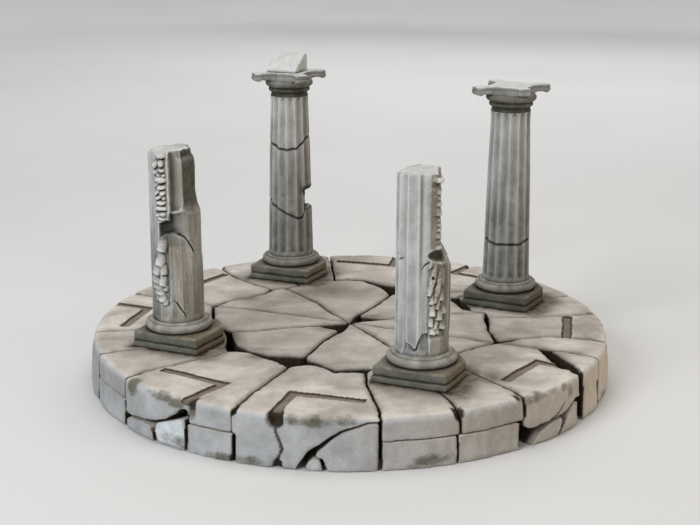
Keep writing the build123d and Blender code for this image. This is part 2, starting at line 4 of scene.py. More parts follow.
import bpy
import numpy as np
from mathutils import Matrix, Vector


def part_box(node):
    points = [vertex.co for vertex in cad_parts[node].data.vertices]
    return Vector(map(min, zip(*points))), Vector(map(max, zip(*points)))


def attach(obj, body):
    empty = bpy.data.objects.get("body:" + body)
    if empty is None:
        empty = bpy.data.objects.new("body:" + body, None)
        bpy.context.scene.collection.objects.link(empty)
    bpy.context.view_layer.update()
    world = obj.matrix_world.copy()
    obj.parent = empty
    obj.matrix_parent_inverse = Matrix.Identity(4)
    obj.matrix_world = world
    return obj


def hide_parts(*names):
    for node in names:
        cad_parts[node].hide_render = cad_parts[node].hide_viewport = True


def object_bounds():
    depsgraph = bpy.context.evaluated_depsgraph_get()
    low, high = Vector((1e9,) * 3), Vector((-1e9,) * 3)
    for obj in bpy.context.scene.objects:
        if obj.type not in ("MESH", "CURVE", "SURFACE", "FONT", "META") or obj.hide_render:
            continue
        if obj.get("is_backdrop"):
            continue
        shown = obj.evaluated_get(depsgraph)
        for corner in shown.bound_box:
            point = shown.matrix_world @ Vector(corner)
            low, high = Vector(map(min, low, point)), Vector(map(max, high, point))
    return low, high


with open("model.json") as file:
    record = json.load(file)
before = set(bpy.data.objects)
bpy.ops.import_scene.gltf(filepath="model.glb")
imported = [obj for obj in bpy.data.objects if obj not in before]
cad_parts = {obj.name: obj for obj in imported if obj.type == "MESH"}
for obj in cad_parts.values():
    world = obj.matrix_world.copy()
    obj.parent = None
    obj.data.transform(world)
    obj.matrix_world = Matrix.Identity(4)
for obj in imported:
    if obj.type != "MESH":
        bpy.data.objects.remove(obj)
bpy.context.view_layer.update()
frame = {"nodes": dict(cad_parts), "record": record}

# Lengths below are millimetres until a mesh is written, azimuths are degrees from +X.
NODES = frame["nodes"]
BODY_OF = {n: b for b, ns in frame["record"]["behaviour"]["bodies"].items() for n in ns}
COARSE = 1.0

# ------------------------------------------------------------------ noise
_rng = np.random.default_rng(20)
_G = _rng.normal(size=(512, 3))
_G /= np.linalg.norm(_G, axis=1)[:, None]
_P = _rng.permutation(512)
_J = _rng.uniform(0.18, 0.82, size=(512, 2))
_A = _rng.uniform(0.0, 1.0, size=(512, 3))


def noise(p, size=1.0, seed=0):
    """Gradient noise, about -1..1, features about `size` across."""
    q = np.asarray(p, float) / size + seed * 11.37
    i = np.floor(q).astype(np.int64)
    f = q - i
    u = f * f * f * (f * (f * 6 - 15) + 10)
    out = 0.0
    for dx in (0, 1):
        hx = _P[(i[:, 0] + dx) & 511]
        wx = u[:, 0] if dx else 1 - u[:, 0]
        for dy in (0, 1):
            hy = _P[(hx + i[:, 1] + dy) & 511]
            wy = wx * (u[:, 1] if dy else 1 - u[:, 1])
            for dz in (0, 1):
                g = _G[_P[(hy + i[:, 2] + dz) & 511]]
                d = g[:, 0] * (f[:, 0] - dx) + g[:, 1] * (f[:, 1] - dy) + g[:, 2] * (f[:, 2] - dz)
                out = out + d * wy * (u[:, 2] if dz else 1 - u[:, 2])
    return out * 1.6


def fbm(p, size, octaves=3, seed=0):
    out, a, tot = 0.0, 1.0, 0.0
    for k in range(octaves):
        out = out + a * noise(p, size / 2.07 ** k, seed + 5 * k)
        tot += a
        a *= 0.5
    return out / tot


def cells(x, y, seed=0):
    """Jittered cells of size 1. Returns nearest and second distance, three random numbers of the cell, and the offset from its middle."""
    ix, iy = np.floor(x).astype(np.int64), np.floor(y).astype(np.int64)
    d1 = np.full(x.shape, 1e9)
    d2 = np.full(x.shape, 1e9)
    hid = np.zeros(x.shape, np.int64)
    ox, oy = np.zeros(x.shape), np.zeros(x.shape)
    for a in (-1, 0, 1):
        for b in (-1, 0, 1):
            h = _P[(_P[(ix + a) & 511] + iy + b + seed * 7) & 511]
            ex, ey = x - (ix + a + _J[h, 0]), y - (iy + b + _J[h, 1])
            d = np.hypot(ex, ey)
            near = d < d1
            d2 = np.where(near, d1, np.minimum(d2, d))
            hid = np.where(near, h, hid)
            ox, oy = np.where(near, ex, ox), np.where(near, ey, oy)
            d1 = np.where(near, d, d1)
    return d1, d2, _A[hid], ox, oy


def step(a, b, x):
    t = np.clip((x - a) / (b - a), 0, 1)
    return t * t * (3 - 2 * t)


def wrap(a):
    return (a + 180.0) % 360.0 - 180.0


def inside(v, lo, hi, soft):
    """1 where lo < v < hi, falling to 0 over `soft`."""
    return step(lo - soft, lo + soft, v) * (1 - step(hi - soft, hi + soft, v))


# ------------------------------------------------------------------ mesh tools
def read_node(node):
    """The CAD node's welded vertices (mm) and triangles."""
    me = NODES[node].data
    me.calc_loop_triangles()
    co = np.zeros(len(me.vertices) * 3, np.float32)
    me.vertices.foreach_get("co", co)
    tri = np.zeros(len(me.loop_triangles) * 3, np.int32)
    me.loop_triangles.foreach_get("vertices", tri)
    co = co.reshape(-1, 3).astype(float) * 1000
    uniq, inv = np.unique(np.round(co, 3), axis=0, return_inverse=True)
    tri = inv.reshape(-1)[tri].reshape(-1, 3)
    ok = (tri[:, 0] != tri[:, 1]) & (tri[:, 1] != tri[:, 2]) & (tri[:, 0] != tri[:, 2])
    return uniq, tri[ok]


def islands(n, tri):
    lab = np.arange(n)
    while True:
        m = lab[tri].min(1)
        new = lab.copy()
        np.minimum.at(new, tri.ravel(), np.repeat(m, 3))
        new = new[new]
        if np.array_equal(new, lab):
            return lab
        lab = new


def remesh(jobs):
    """jobs: {key: (vertices mm, triangles, voxel mm)}. Returns {key: (vertices, quads)}, made by Blender's voxel remesh."""
    made = {}
    for key, (v, t, voxel) in jobs.items():
        me = bpy.data.meshes.new("tmp")
        me.from_pydata(v.tolist(), [], t.tolist())
        ob = bpy.data.objects.new("tmp", me)
        bpy.context.scene.collection.objects.link(ob)
        mod = ob.modifiers.new("r", "REMESH")
        mod.mode = "VOXEL"
        mod.voxel_size = voxel
        mod.adaptivity = 0.0
        made[key] = ob
    bpy.context.view_layer.update()
    dg = bpy.context.evaluated_depsgraph_get()
    out = {}
    for key, ob in made.items():
        ev = ob.evaluated_get(dg)
        me = ev.to_mesh()
        co = np.zeros(len(me.vertices) * 3, np.float32)
        me.vertices.foreach_get("co", co)
        idx = np.zeros(len(me.loops), np.int32)
        me.loops.foreach_get("vertex_index", idx)
        out[key] = (co.reshape(-1, 3).astype(float), idx.reshape(-1, 4).astype(np.int64))
        ev.to_mesh_clear()
    for ob in made.values():
        me = ob.data
        bpy.data.objects.remove(ob)
        bpy.data.meshes.remove(me)
    return out


class Net:
    """Neighbour sums over a quad mesh."""

    def __init__(self, quads, n):
        e = np.concatenate([quads[:, [0, 1]], quads[:, [1, 2]], quads[:, [2, 3]], quads[:, [3, 0]]])
        e.sort(axis=1)
        key = np.unique(e[:, 0] * n + e[:, 1])
        self.a, self.b, self.n = key // n, key % n, n
        self.deg = np.bincount(self.a, minlength=n) + np.bincount(self.b, minlength=n)
        self.deg = np.maximum(self.deg, 1)

    def mean(self, f):
        if f.ndim == 1:
            return (np.bincount(self.a, f[self.b], self.n) + np.bincount(self.b, f[self.a], self.n)) / self.deg
        return np.stack([self.mean(f[:, k]) for k in range(f.shape[1])], 1)

    def spread(self, f, times, k=0.7):
        for _ in range(times):
            f = f + k * (self.mean(f) - f)
        return f


def normals(co, quads):
    c = np.cross(co[quads[:, 2]] - co[quads[:, 0]], co[quads[:, 3]] - co[quads[:, 1]])
    n = np.zeros_like(co)
    for k in range(3):
        for j in range(4):
            n[:, k] += np.bincount(quads[:, j], c[:, k], len(co))
    return n / np.maximum(np.linalg.norm(n, axis=1), 1e-9)[:, None]


MATS = {}


def write(node, co, faces, attrs, mat, name=None):
    """Writes one finished piece that stands for a CAD node. faces: list of index arrays, each (m, 3) or (m, 4)."""
    me = bpy.data.meshes.new(name or node + "_look")
    me.vertices.add(len(co))
    me.vertices.foreach_set("co", (co / 1000).astype(np.float32).ravel())
    idx = np.concatenate([f.ravel() for f in faces]).astype(np.int32)
    sizes = np.concatenate([np.full(len(f), f.shape[1]) for f in faces])
    starts = np.concatenate([[0], np.cumsum(sizes)[:-1]]).astype(np.int32)
    me.loops.add(len(idx))
    me.loops.foreach_set("vertex_index", idx)
    me.polygons.add(len(sizes))
    me.polygons.foreach_set("loop_start", starts)
    me.update(calc_edges=True)
    me.validate()
    me.polygons.foreach_set("use_smooth", np.ones(len(me.polygons), bool))
    for key, val in attrs.items():
        at = me.attributes.new(key, "FLOAT", "POINT")
        at.data.foreach_set("value", np.asarray(val, np.float32))
    me.materials.append(MATS[mat])
    ob = bpy.data.objects.new(name or node + "_look", me)
    bpy.context.scene.collection.objects.link(ob)
    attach(ob, BODY_OF[node])
    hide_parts(node)
    return ob


# ------------------------------------------------------------------ materials
class Graph:
    def __init__(self, name):
        self.mat = bpy.data.materials.new(name)
        self.mat.use_nodes = True
        self.nt = self.mat.node_tree
        self.bsdf = self.nt.nodes["Principled BSDF"]
        self.co = self.nt.nodes.new("ShaderNodeTexCoord").outputs["Object"]

    def put(self, sock, v):
        if isinstance(v, bpy.types.NodeSocket):
            self.nt.links.new(v, sock)
        else:
            sock.default_value = v

    def attr(self, name):
        n = self.nt.nodes.new("ShaderNodeAttribute")
        n.attribute_name = name
        return n.outputs["Fac"]

    def noise(self, per_mm, detail=4, rough=0.55, offset=0.0, stretch=None):
        """Noise whose features are about per_mm millimetres."""
        m = self.nt.nodes.new("ShaderNodeMapping")
        m.inputs["Location"].default_value = (offset, offset * 0.7, offset * 1.3)
        if stretch:
            m.inputs["Scale"].default_value = stretch
        self.nt.links.new(self.co, m.inputs["Vector"])
        n = self.nt.nodes.new("ShaderNodeTexNoise")
        n.inputs["Scale"].default_value = 1000.0 / per_mm
        n.inputs["Detail"].default_value = detail
        n.inputs["Roughness"].default_value = rough
        self.nt.links.new(m.outputs["Vector"], n.inputs["Vector"])
        return n.outputs["Fac"]

    def math(self, op, a, b=0.0, c=None, clamp=False):
        n = self.nt.nodes.new("ShaderNodeMath")
        n.operation = op
        n.use_clamp = clamp
        self.put(n.inputs[0], a)
        self.put(n.inputs[1], b)
        if c is not None:
            self.put(n.inputs[2], c)
        return n.outputs[0]

    def remap(self, v, a, b, c=0.0, d=1.0):
        n = self.nt.nodes.new("ShaderNodeMapRange")
        n.clamp = True
        self.put(n.inputs["Value"], v)
        n.inputs["From Min"].default_value = a
        n.inputs["From Max"].default_value = b
        n.inputs["To Min"].default_value = c
        n.inputs["To Max"].default_value = d
        return n.outputs["Result"]

    def mix(self, fac, a, b, kind="MIX"):
        n = self.nt.nodes.new("ShaderNodeMix")
        n.data_type = "RGBA"
        n.blend_type = kind
        n.clamp_factor = True
        self.put(n.inputs[0], fac)
        self.put(n.inputs[6], a if isinstance(a, bpy.types.NodeSocket) else (*a, 1.0))
        self.put(n.inputs[7], b if isinstance(b, bpy.types.NodeSocket) else (*b, 1.0))
        return n.outputs[2]

    def bump(self, height, dist_mm, strength, prev=None):
        n = self.nt.nodes.new("ShaderNodeBump")
        n.inputs["Strength"].default_value = strength
        n.inputs["Distance"].default_value = dist_mm / 1000.0
        self.put(n.inputs["Height"], height)
        if prev is not None:
            self.nt.links.new(prev, n.inputs["Normal"])
        return n.outputs["Normal"]

    def done(self, colour, rough, normal, spec=0.25, metal=0.0):
        self.put(self.bsdf.inputs["Base Color"], colour)
        self.put(self.bsdf.inputs["Roughness"], rough)
        self.put(self.bsdf.inputs["Specular IOR Level"], spec)
        self.put(self.bsdf.inputs["Metallic"], metal)
        if normal is not None:
            self.nt.links.new(normal, self.bsdf.inputs["Normal"])
        return self.mat


def lin(r, g, b):
    """sRGB 0..255 to linear."""
    return tuple(((c / 255 + 0.055) / 1.055) ** 2.4 if c > 10 else c / 255 / 12.92 for c in (r, g, b))


def make_base_stone():
    g = Graph("painted_paving_stone")
    big, mid, fine = g.noise(17, 4, 0.55), g.noise(4.2, 5, 0.6, 3.1), g.noise(0.9, 4, 0.6, 7.7)
    streak = g.noise(9, 4, 0.6, 12.3, (0.45, 1.3, 1.0))
    blotch = g.noise(6.5, 5, 0.65, 21.0)
    top = g.mix(g.remap(big, 0.34, 0.66), lin(*TOP_DARK), lin(*TOP_LIGHT))
    rim = g.mix(g.remap(big, 0.34, 0.66), lin(*RIM_DARK), lin(*RIM_LIGHT))
    face = g.attr("face")
    place = g.nt.nodes.new("ShaderNodeSeparateXYZ")
    g.nt.links.new(g.co, place.inputs[0])
    away = g.nt.nodes.new("ShaderNodeVectorMath")
    away.operation = "LENGTH"
    g.nt.links.new(g.co, away.inputs[0])
    hub = g.math("MULTIPLY", g.remap(away.outputs["Value"], 0.072, 0.045), g.remap(big, 0.30, 0.62, 0.55, 1.0))
    top = g.mix(g.math("MULTIPLY", hub, 0.26), top, lin(92, 84, 72))
    # painted light and shade on the rim face: warmer and darker just right of the front, lighter and warmer at the far
    # right, darker grey at the far left
    rim = g.mix(g.math("MULTIPLY", g.remap(place.outputs["X"], -0.005, 0.035), 0.72), rim, lin(160, 150, 137))
    rim = g.mix(g.math("MULTIPLY", g.remap(place.outputs["X"], 0.055, 0.095), 0.70), rim, lin(210, 195, 174))
    rim = g.mix(g.math("MULTIPLY", g.remap(place.outputs["X"], -0.055, -0.095), 0.45), rim, lin(136, 136, 136))
    col = g.mix(face, top, rim)
    # thin brown glaze lies in soft patches
    glaze = g.math("MULTIPLY", g.remap(streak, 0.50, 0.72), g.remap(mid, 0.35, 0.65))
    col = g.mix(g.math("MULTIPLY", glaze, 0.34), col, lin(112, 96, 78))
    # sponged light grain
    col = g.mix(g.math("MULTIPLY", g.remap(fine, 0.52, 0.70), 0.18), col, lin(222, 217, 208))
    col = g.mix(g.math("MULTIPLY", g.remap(mid, 0.56, 0.40), 0.14), col, lin(96, 86, 74))
    # light edges, and the painted highlight on the front-left rubble stone
    edge = g.math("MULTIPLY", g.attr("edge"), g.remap(mid, 0.30, 0.62, 0.45, 1.0))
    col = g.mix(edge, col, g.mix(face, lin(222, 218, 210), lin(214, 220, 224)))
    # stain and painted shade: soft olive-brown stain with the painted shadows round the plinths, ragged at its border,
    # then the dark wash in the joints, which also paints the shade in the hollow behind the front-right rubble
    stain_and_shade = g.math("MULTIPLY", g.attr("stain_and_shade"), g.remap(mid, 0.28, 0.60, 0.70, 1.15))
    col = g.mix(stain_and_shade, col, lin(66, 58, 44))
    blot = g.math("ADD", g.attr("blot"), g.math("MULTIPLY", g.math("SUBTRACT", blotch, 0.5), 1.5))
    blot = g.math("ADD", blot, g.math("MULTIPLY", g.math("SUBTRACT", fine, 0.5), 0.7))
    blot = g.math("MULTIPLY", g.remap(blot, 0.34, 0.86), g.remap(g.attr("blot"), 0.05, 0.40))
    col = g.mix(g.math("MULTIPLY", blot, 0.80), col, lin(82, 76, 58))
    # the L-shaped grooves: a brown floor between two dark lines
    kd = g.attr("kd")
    col = g.mix(g.math("MULTIPLY", g.remap(kd, 1.95, 1.45), g.remap(mid, 0.3, 0.7, 0.92, 0.72)), col, lin(97, 84, 67))
    line = g.remap(g.math("ABSOLUTE", g.math("SUBTRACT", kd, 1.62)), 0.55, 0.12)
    col = g.mix(g.math("MULTIPLY", line, g.remap(mid, 0.25, 0.55, 0.72, 0.96)), col, lin(50, 38, 26))
    wash_and_shade = g.math("MULTIPLY", g.attr("wash_and_shade"), g.remap(fine, 0.25, 0.55, 0.85, 1.1))
    col = g.mix(wash_and_shade, col, lin(46, 35, 25))
    nrm = g.bump(g.math("ADD", fine, g.math("MULTIPLY", mid, 0.8)), 0.30, 0.45)
    rough = g.remap(mid, 0.3, 0.7, 0.78, 0.95)
    return g.done(col, rough, nrm, 0.2)


def make_column_stone():
    g = Graph("painted_column_stone")
    big, mid, fine = g.noise(12, 4, 0.55, 1.7), g.noise(3.1, 5, 0.6, 5.2), g.noise(0.7, 4, 0.6, 2.9)
    streak = g.noise(4.0, 4, 0.6, 9.4, (1.0, 1.0, 0.16))
    base = g.mix(g.remap(big, 0.34, 0.66), lin(*COL_DARK), lin(*COL_LIGHT))
    # warm tint; on the side turned to the right it is stronger, painted light and shade for the warm lamp
    base = g.mix(g.math("MULTIPLY", g.attr("warm"), 1.0), base, lin(*COL_WARM))
    base = g.mix(g.math("MULTIPLY", g.remap(streak, 0.46, 0.70), 0.40), base, lin(214, 216, 216))
    base = g.mix(g.math("MULTIPLY", g.remap(streak, 0.52, 0.34), 0.30), base, lin(92, 94, 90))
    base = g.mix(g.math("MULTIPLY", g.remap(fine, 0.54, 0.70), 0.20), base, lin(226, 226, 222))
    # light edges, with painted highlights on the lit upper parts of the shafts, the tops of flakes and knobs, and the
    # tops of the capital blocks
    edge = g.math("MULTIPLY", g.attr("edge"), g.remap(mid, 0.30, 0.62, 0.5, 1.0))
    base = g.mix(edge, base, lin(214, 214, 208))
    # stain and painted shade, then the dark wash with painted shadows under the flakes, the ledges and the capitals
    stain_and_shade = g.math("MULTIPLY", g.attr("stain_and_shade"), g.remap(mid, 0.28, 0.60, 0.75, 1.1))
    base = g.mix(stain_and_shade, base, lin(62, 62, 48))
    wash_and_shade = g.math("MULTIPLY", g.attr("wash_and_shade"), g.remap(fine, 0.25, 0.55, 0.85, 1.1))
    base = g.mix(wash_and_shade, base, lin(26, 25, 21))
    nrm = g.bump(g.math("ADD", fine, mid), 0.25, 0.5)
    return g.done(base, g.remap(mid, 0.3, 0.7, 0.70, 0.9), nrm, 0.25)


def make_plinth_stone():
    g = Graph("painted_plinth_stone")
    big, mid, fine = g.noise(9, 4, 0.55, 4.4), g.noise(2.6, 5, 0.62, 6.2), g.noise(0.7, 4, 0.6, 8.9)
    col = g.mix(g.remap(big, 0.34, 0.66), lin(*PLI_DARK), lin(*PLI_LIGHT))
    col = g.mix(g.math("MULTIPLY", g.remap(mid, 0.52, 0.66), 0.35), col, lin(120, 120, 106))
    # warm tint, with painted warm light on the faces turned to the right
    col = g.mix(g.math("MULTIPLY", g.attr("warm"), 0.8), col, lin(122, 108, 84))
    edge = g.math("MULTIPLY", g.attr("edge"), g.remap(mid, 0.30, 0.62, 0.35, 1.0))
    col = g.mix(edge, col, lin(176, 174, 160))
    # stain with the painted shadow round the column's foot, then the dark wash in the split with the painted shadow
    # along the plinth's foot
    col = g.mix(g.attr("stain_and_shade"), col, lin(46, 40, 28))
    col = g.mix(g.attr("wash_and_shade"), col, lin(18, 17, 13))
    nrm = g.bump(g.math("ADD", fine, mid), 0.3, 0.6)
    return g.done(col, g.remap(mid, 0.3, 0.7, 0.62, 0.88), nrm, 0.3)


def make_core():
    g = Graph("painted_plaster_core")
    mid, fine = g.noise(3.5, 5, 0.6, 2.2), g.noise(0.8, 4, 0.6, 3.9)
    col = g.mix(g.remap(mid, 0.35, 0.65), lin(30, 22, 15), lin(56, 43, 31))
    return g.done(col, g.remap(mid, 0.3, 0.7, 0.8, 0.95), g.bump(g.math("ADD", fine, mid), 0.4, 0.7), 0.15)


def make_brass():
    g = Graph("brass_pin")
    drawn = g.noise(0.9, 4, 0.6, 1.1, (1.0, 1.0, 0.03))
    spot = g.noise(3.0, 4, 0.6, 5.0)
    col = g.mix(g.remap(drawn, 0.35, 0.65), lin(176, 138, 72), lin(208, 174, 104))
    col = g.mix(g.math("MULTIPLY", g.remap(spot, 0.52, 0.70), 0.6), col, lin(112, 82, 44))
    return g.done(col, g.remap(spot, 0.3, 0.7, 0.26, 0.5), g.bump(drawn, 0.05, 0.5), 0.5, 1.0)


TOP_DARK, TOP_LIGHT = (160, 152, 142), (206, 198, 188)
RIM_DARK, RIM_LIGHT = (148, 150, 150), (182, 183, 184)
COL_DARK, COL_LIGHT = (133, 135, 136), (184, 186, 187)
COL_WARM = (136, 126, 108)
PLI_DARK, PLI_LIGHT = (82, 82, 74), (116, 115, 104)
MATS["base"] = make_base_stone()
MATS["column"] = make_column_stone()
MATS["plinth"] = make_plinth_stone()
MATS["core"] = make_core()
MATS["brass"] = make_brass()

# ------------------------------------------------------------------ the layout, read from the frame where it can be
BASE_H = 18.5
CENTRE, PLINTH_AT = {}, {}
for col in ("front_left", "back_left", "back_right", "front_right"):
    lo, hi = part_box(col + "_pin")
    CENTRE[col] = ((lo.x + hi.x) * 500, (lo.y + hi.y) * 500)
    PLINTH_AT[col] = (CENTRE[col][0] + (1.25 if col == "front_left" else 0.0), CENTRE[col][1])
    RING_Z, FOOT_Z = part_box(col + "_base_ring")[0].z * 1000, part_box(col + "_base_ring")[1].z * 1000
TURN = {"front_left": -23.4, "back_left": -21.3, "back_right": -25.3, "front_right": -21.9}


def plinth_distance(x, y, col, dx=0.0, dy=0.0):
    """Distance outside the plinth of a column, in plan."""
    a = math.radians(TURN[col])
    u, v = x - PLINTH_AT[col][0] - dx, y - PLINTH_AT[col][1] - dy
    u, v = u * math.cos(a) + v * math.sin(a), -u * math.sin(a) + v * math.cos(a)
    s, t, c = np.abs(u - 0.1) - 14.6, np.abs(v + 0.2) - 13.0, (u - 9.5) * 0.784 + (v - 12.8) * 0.621
    return np.maximum(np.hypot(np.maximum(s, 0), np.maximum(t, 0)), c)


# hollows in the rim: azimuth, height, half width (mm), half height (mm), depth (mm), darkness
DENTS = [
    (-104.4, 16.6, 3.1, 3.6, 3.6, 1.0),      # round hole at the end of the front groove
    (-104.0, 0.0, 1.9, 3.6, 1.8, 1.0),       # dark foot of the seam below it
    (-122.4, 17.2, 2.0, 3.0, 1.8, 0.85),     # notch at the end of the left groove
    (-112.7, 18.0, 1.0, 1.9, 1.3, 1.0),      # teardrop at the end of the joint
    (-112.9, 0.0, 1.3, 3.4, 0.9, 1.0),
    (-96.0, 17.2, 2.4, 1.0, 0.4, 0.5),
    (-68.7, 18.8, 2.3, 4.6, 1.7, 0.95),      # notch at the top of the seam
    (-54.6, 18.5, 1.2, 1.6, 0.8, 0.9),
    (-41.8, 16.6, 2.2, 1.4, 0.8, 0.45),
    (-53.6, 2.6, 2.0, 3.6, 1.6, 0.8),
    # the sides and back that the front doesn't show carry the same kinds of wear
    (157.0, 17.8, 1.8, 3.2, 1.4, 0.7), (146.5, 17.8, 1.6, 2.4, 1.2, 0.7), (126.9, 17.8, 2.2, 3.2, 1.8, 0.8), (111.0, 18.2, 1.4, 2.4, 1.2, 0.7),
    (96.0, 0.4, 2.0, 3.8, 1.6, 0.9), (75.5, 16.8, 2.6, 3.0, 3.2, 0.95), (66.9, 18.0, 1.4, 2.2, 1.2, 0.7), (56.2, 17.4, 2.0, 2.8, 1.8, 0.8),
    (37.5, 18.0, 1.6, 2.4, 1.2, 0.7), (21.2, 18.0, 1.4, 2.6, 1.1, 0.6), (7.0, 18.0, 1.4, 2.6, 1.1, 0.6), (-13.2, 18.0, 1.4, 2.6, 1.1, 0.6),
]
# stains on the rim: azimuth, height, half width, half height (mm), strength
STAINS = [
    (-139.3, 16.4, 3.0, 2.6, 0.95), (-129.6, 17.2, 5.2, 1.3, 0.85), (-125.8, 16.4, 3.0, 1.5, 0.90), (-133.0, 17.8, 3.0, 0.8, 0.5),
    (-126.0, 2.8, 5.6, 3.0, 0.62), (-115.8, 1.1, 5.0, 1.5, 0.85), (-109.4, 1.5, 5.4, 1.4, 0.80), (-122.2, 15.4, 1.4, 3.0, 0.9),
    (-74.0, 2.9, 6.2, 2.2, 0.85), (-78.0, 1.0, 3.0, 1.2, 0.5),
    (-96.0, 17.1, 11.5, 1.5, 0.72), (-96.2, 16.9, 3.4, 1.9, 0.95), (-100.9, 17.2, 3.0, 1.5, 0.80), (-91.0, 17.2, 4.0, 1.4, 0.75),
    (-51.0, 16.9, 5.4, 1.6, 0.80), (-46.0, 17.4, 3.4, 1.0, 0.6), (-40.0, 14.6, 2.4, 3.2, 0.45), (-37.6, 13.0, 1.6, 3.6, 0.45),
    (-60.0, 0.4, 8.0, 1.2, 0.35), (-150.0, 0.4, 9.0, 1.0, 0.35),
    (165.0, 1.0, 7.0, 2.0, 0.7), (120.0, 1.2, 8.0, 2.2, 0.8), (100.0, 17.2, 7.0, 1.4, 0.7), (80.0, 1.4, 8.0, 2.2, 0.8), (86.0, 17.1, 10.0, 1.4, 0.65),
    (50.0, 17.2, 6.0, 1.5, 0.8), (28.0, 1.4, 6.0, 2.4, 0.8), (0.0, 17.2, 7.0, 1.3, 0.6), (-20.0, 1.0, 6.0, 2.0, 0.6), (137.0, 17.2, 6.0, 1.5, 0.8),
]
# thin cracks on the rim: (azimuth, height, half width in mm) along each
SEAMS = [
    [(-104.6, 13.6, 0.30), (-103.8, 10.4, 0.25), (-102.9, 6.6, 0.45), (-103.5, 4.2, 0.30), (-104.2, 2.2, 0.9), (-104.0, 0.0, 1.7)],
    [(-122.8, 18.6, 0.5), (-122.9, 14.0, 0.35), (-123.2, 9.9, 0.3)],
    [(75.4, 13.6, 0.30), (76.2, 10.4, 0.25), (77.1, 6.6, 0.45), (76.5, 4.2, 0.30), (75.8, 2.2, 0.9), (76.0, 0.0, 1.7)],
    [(-46.9, 6.6, 0.6), (-44.6, 8.6, 0.35), (-42.2, 11.4, 0.2)],
]
# a groove 3.4 mm wide runs along each of these bent lines
KEYS = [
    [(-65.8, -54.6), (-44.1, -67.9), (-57.3, -85.4)], [(3.5, -84.0), (-19.6, -77.0), (-27.2, -102.0)], [(55.3, -63.7), (68.6, -45.5), (79.5, -53.0)],
    [(86.9, 5.6), (83.0, -17.6)], [(-88.2, -3.5), (-82.6, 18.2), (-99.0, 25.0)], [(-56.0, 66.3), (-68.5, 47.5), (-84.0, 57.5)],
    [(-4.2, 88.2), (18.9, 81.9), (22.5, 100.5)], [(63.5, 58.0), (46.2, 70.0), (59.6, 88.6)],
]


def key_distance(x, y):
    """Distance in plan from the middle of the nearest L-shaped groove, squared off at its ends."""
    best = np.full(len(x), 9.0)
    for line in KEYS:
        for (x0, y0), (x1, y1) in zip(line, line[1:]):
            dx, dy = x1 - x0, y1 - y0
            size = math.hypot(dx, dy)
            s = ((x - x0) * dx + (y - y0) * dy) / size
            t = np.abs((x - x0) * dy - (y - y0) * dx) / size
            best = np.minimum(best, np.maximum(t, np.abs(s - size / 2) - size / 2))
    return best


def seed_low(z, az):
    """1 above the sloping top edge of the front-left rubble stone's lump, 0 on the lump itself."""
    return 1 - step(-0.2, 0.4, z - np.interp(az, [-131.2, -128.0, -125.6, -123.8], [7.8, 9.8, 11.3, 11.8]))


def seam_depth(az, z):
    """1 on the thin rim cracks, 0 away from them."""
    out = np.zeros(len(az))
    for line in SEAMS:
        for (a0, z0, w0), (a1, z1, w1) in zip(line, line[1:]):
            k = 101.0 * math.pi / 180
            u, v = wrap(az - a0) * k, z - z0
            du, dv = (a1 - a0) * k, z1 - z0
            t = np.clip((u * du + v * dv) / (du * du + dv * dv), 0, 1)
            d = np.hypot(u - t * du, v - t * dv)
            w = w0 + (w1 - w0) * t
            out = np.maximum(out, np.clip(1.35 - d / w, 0, 1))
    return out


# soft dark patches on the paving: x, y, radius x, radius y (mm), strength
PATCHES = [
    (-43.0, 31.0, 6.0, 3.4, 0.75), (-36.5, -32.5, 11.0, 3.0, 0.55), (-31.5, -40.0, 6.0, 3.6, 0.9), (-49.0, -22.0, 6.0, 8.0, 0.62),
    (-9.0, -6.8, 6.0, 2.6, 0.7), (8.0, 7.4, 6.5, 2.8, 0.7), (35.0, -50.5, 5.0, 2.6, 0.30), (-26.0, -33.0, 6.0, 1.8, 0.30),
    (-2.0, 49.5, 8.0, 4.0, 0.35), (43.0, 41.0, 7.0, 4.0, 0.5), (46.0, 30.0, 5.0, 7.0, 0.45), (77.5, -44.5, 3.0, 9.0, 0.45),
    (-12.0, 40.0, 9.0, 3.0, 0.18), (20.0, -24.0, 8.0, 3.0, 0.16), (-20.0, -66.0, 7.0, 3.0, 0.15), (62.0, -44.0, 5.0, 2.6, 0.28),
    (0.0, 39.0, 14.0, 9.0, 0.38), (-32.0, -20.0, 9.0, 5.0, 0.16), (49.0, -62.0, 10.0, 9.0, 0.72), (-10.0, 44.0, 13.0, 15.0, 0.62), (-28.0, -22.0, 12.0, 10.0, 0.34), (-2.0, -65.0, 9.0, 7.0, 0.22), (0.0, 20.0, 6.0, 5.0, 0.14), (33.0, 4.0, 8.0, 3.0, 0.15), (50.0, -68.0, 4.0, 3.0, 0.15), (-66.0, 42.0, 7.0, 5.0, 0.15),
]
BULGES = [(-133.2, 9.0, 9.4, 10.5, 1.6), (-46.0, 9.5, 8.6, 10.5, 1.2), (46.8, 9.0, 9.4, 10.5, 1.5), (136.8, 9.0, 9.4, 10.5, 1.5)]


def bowl(az, z, p, a0, z0, w, h):
    """1 in the middle of an ellipse on the rim and 0 outside it, with a ragged outline."""
    s = wrap(az - a0) * (100.5 * math.pi / 180) / w
    t = (z - z0) / h
    q = s * s + t * t
    live = q < 2.2
    out = np.zeros(len(az))
    if live.any():
        q = q[live] * (1 + 0.38 * noise(p[live], 2.6, 31))
        out[live] = np.clip(1 - q, 0, 1)
    return out


def warp(p):
    """Sideways shift shared by all the blocks, so the joints between them wander but keep their width."""
    flat = p * np.array([1.0, 1.0, 0.30])
    w = np.stack([0.50 * noise(flat, 10, 41) + 0.26 * noise(flat, 3.3, 42), 0.50 * noise(flat, 10, 43) + 0.26 * noise(flat, 3.3, 44)], 1)
    k = np.ones(len(p))
    for x, y in CENTRE.values():
        k *= step(5.0, 12.0, np.hypot(p[:, 0] - x, p[:, 1] - y))
    return w * k[:, None]


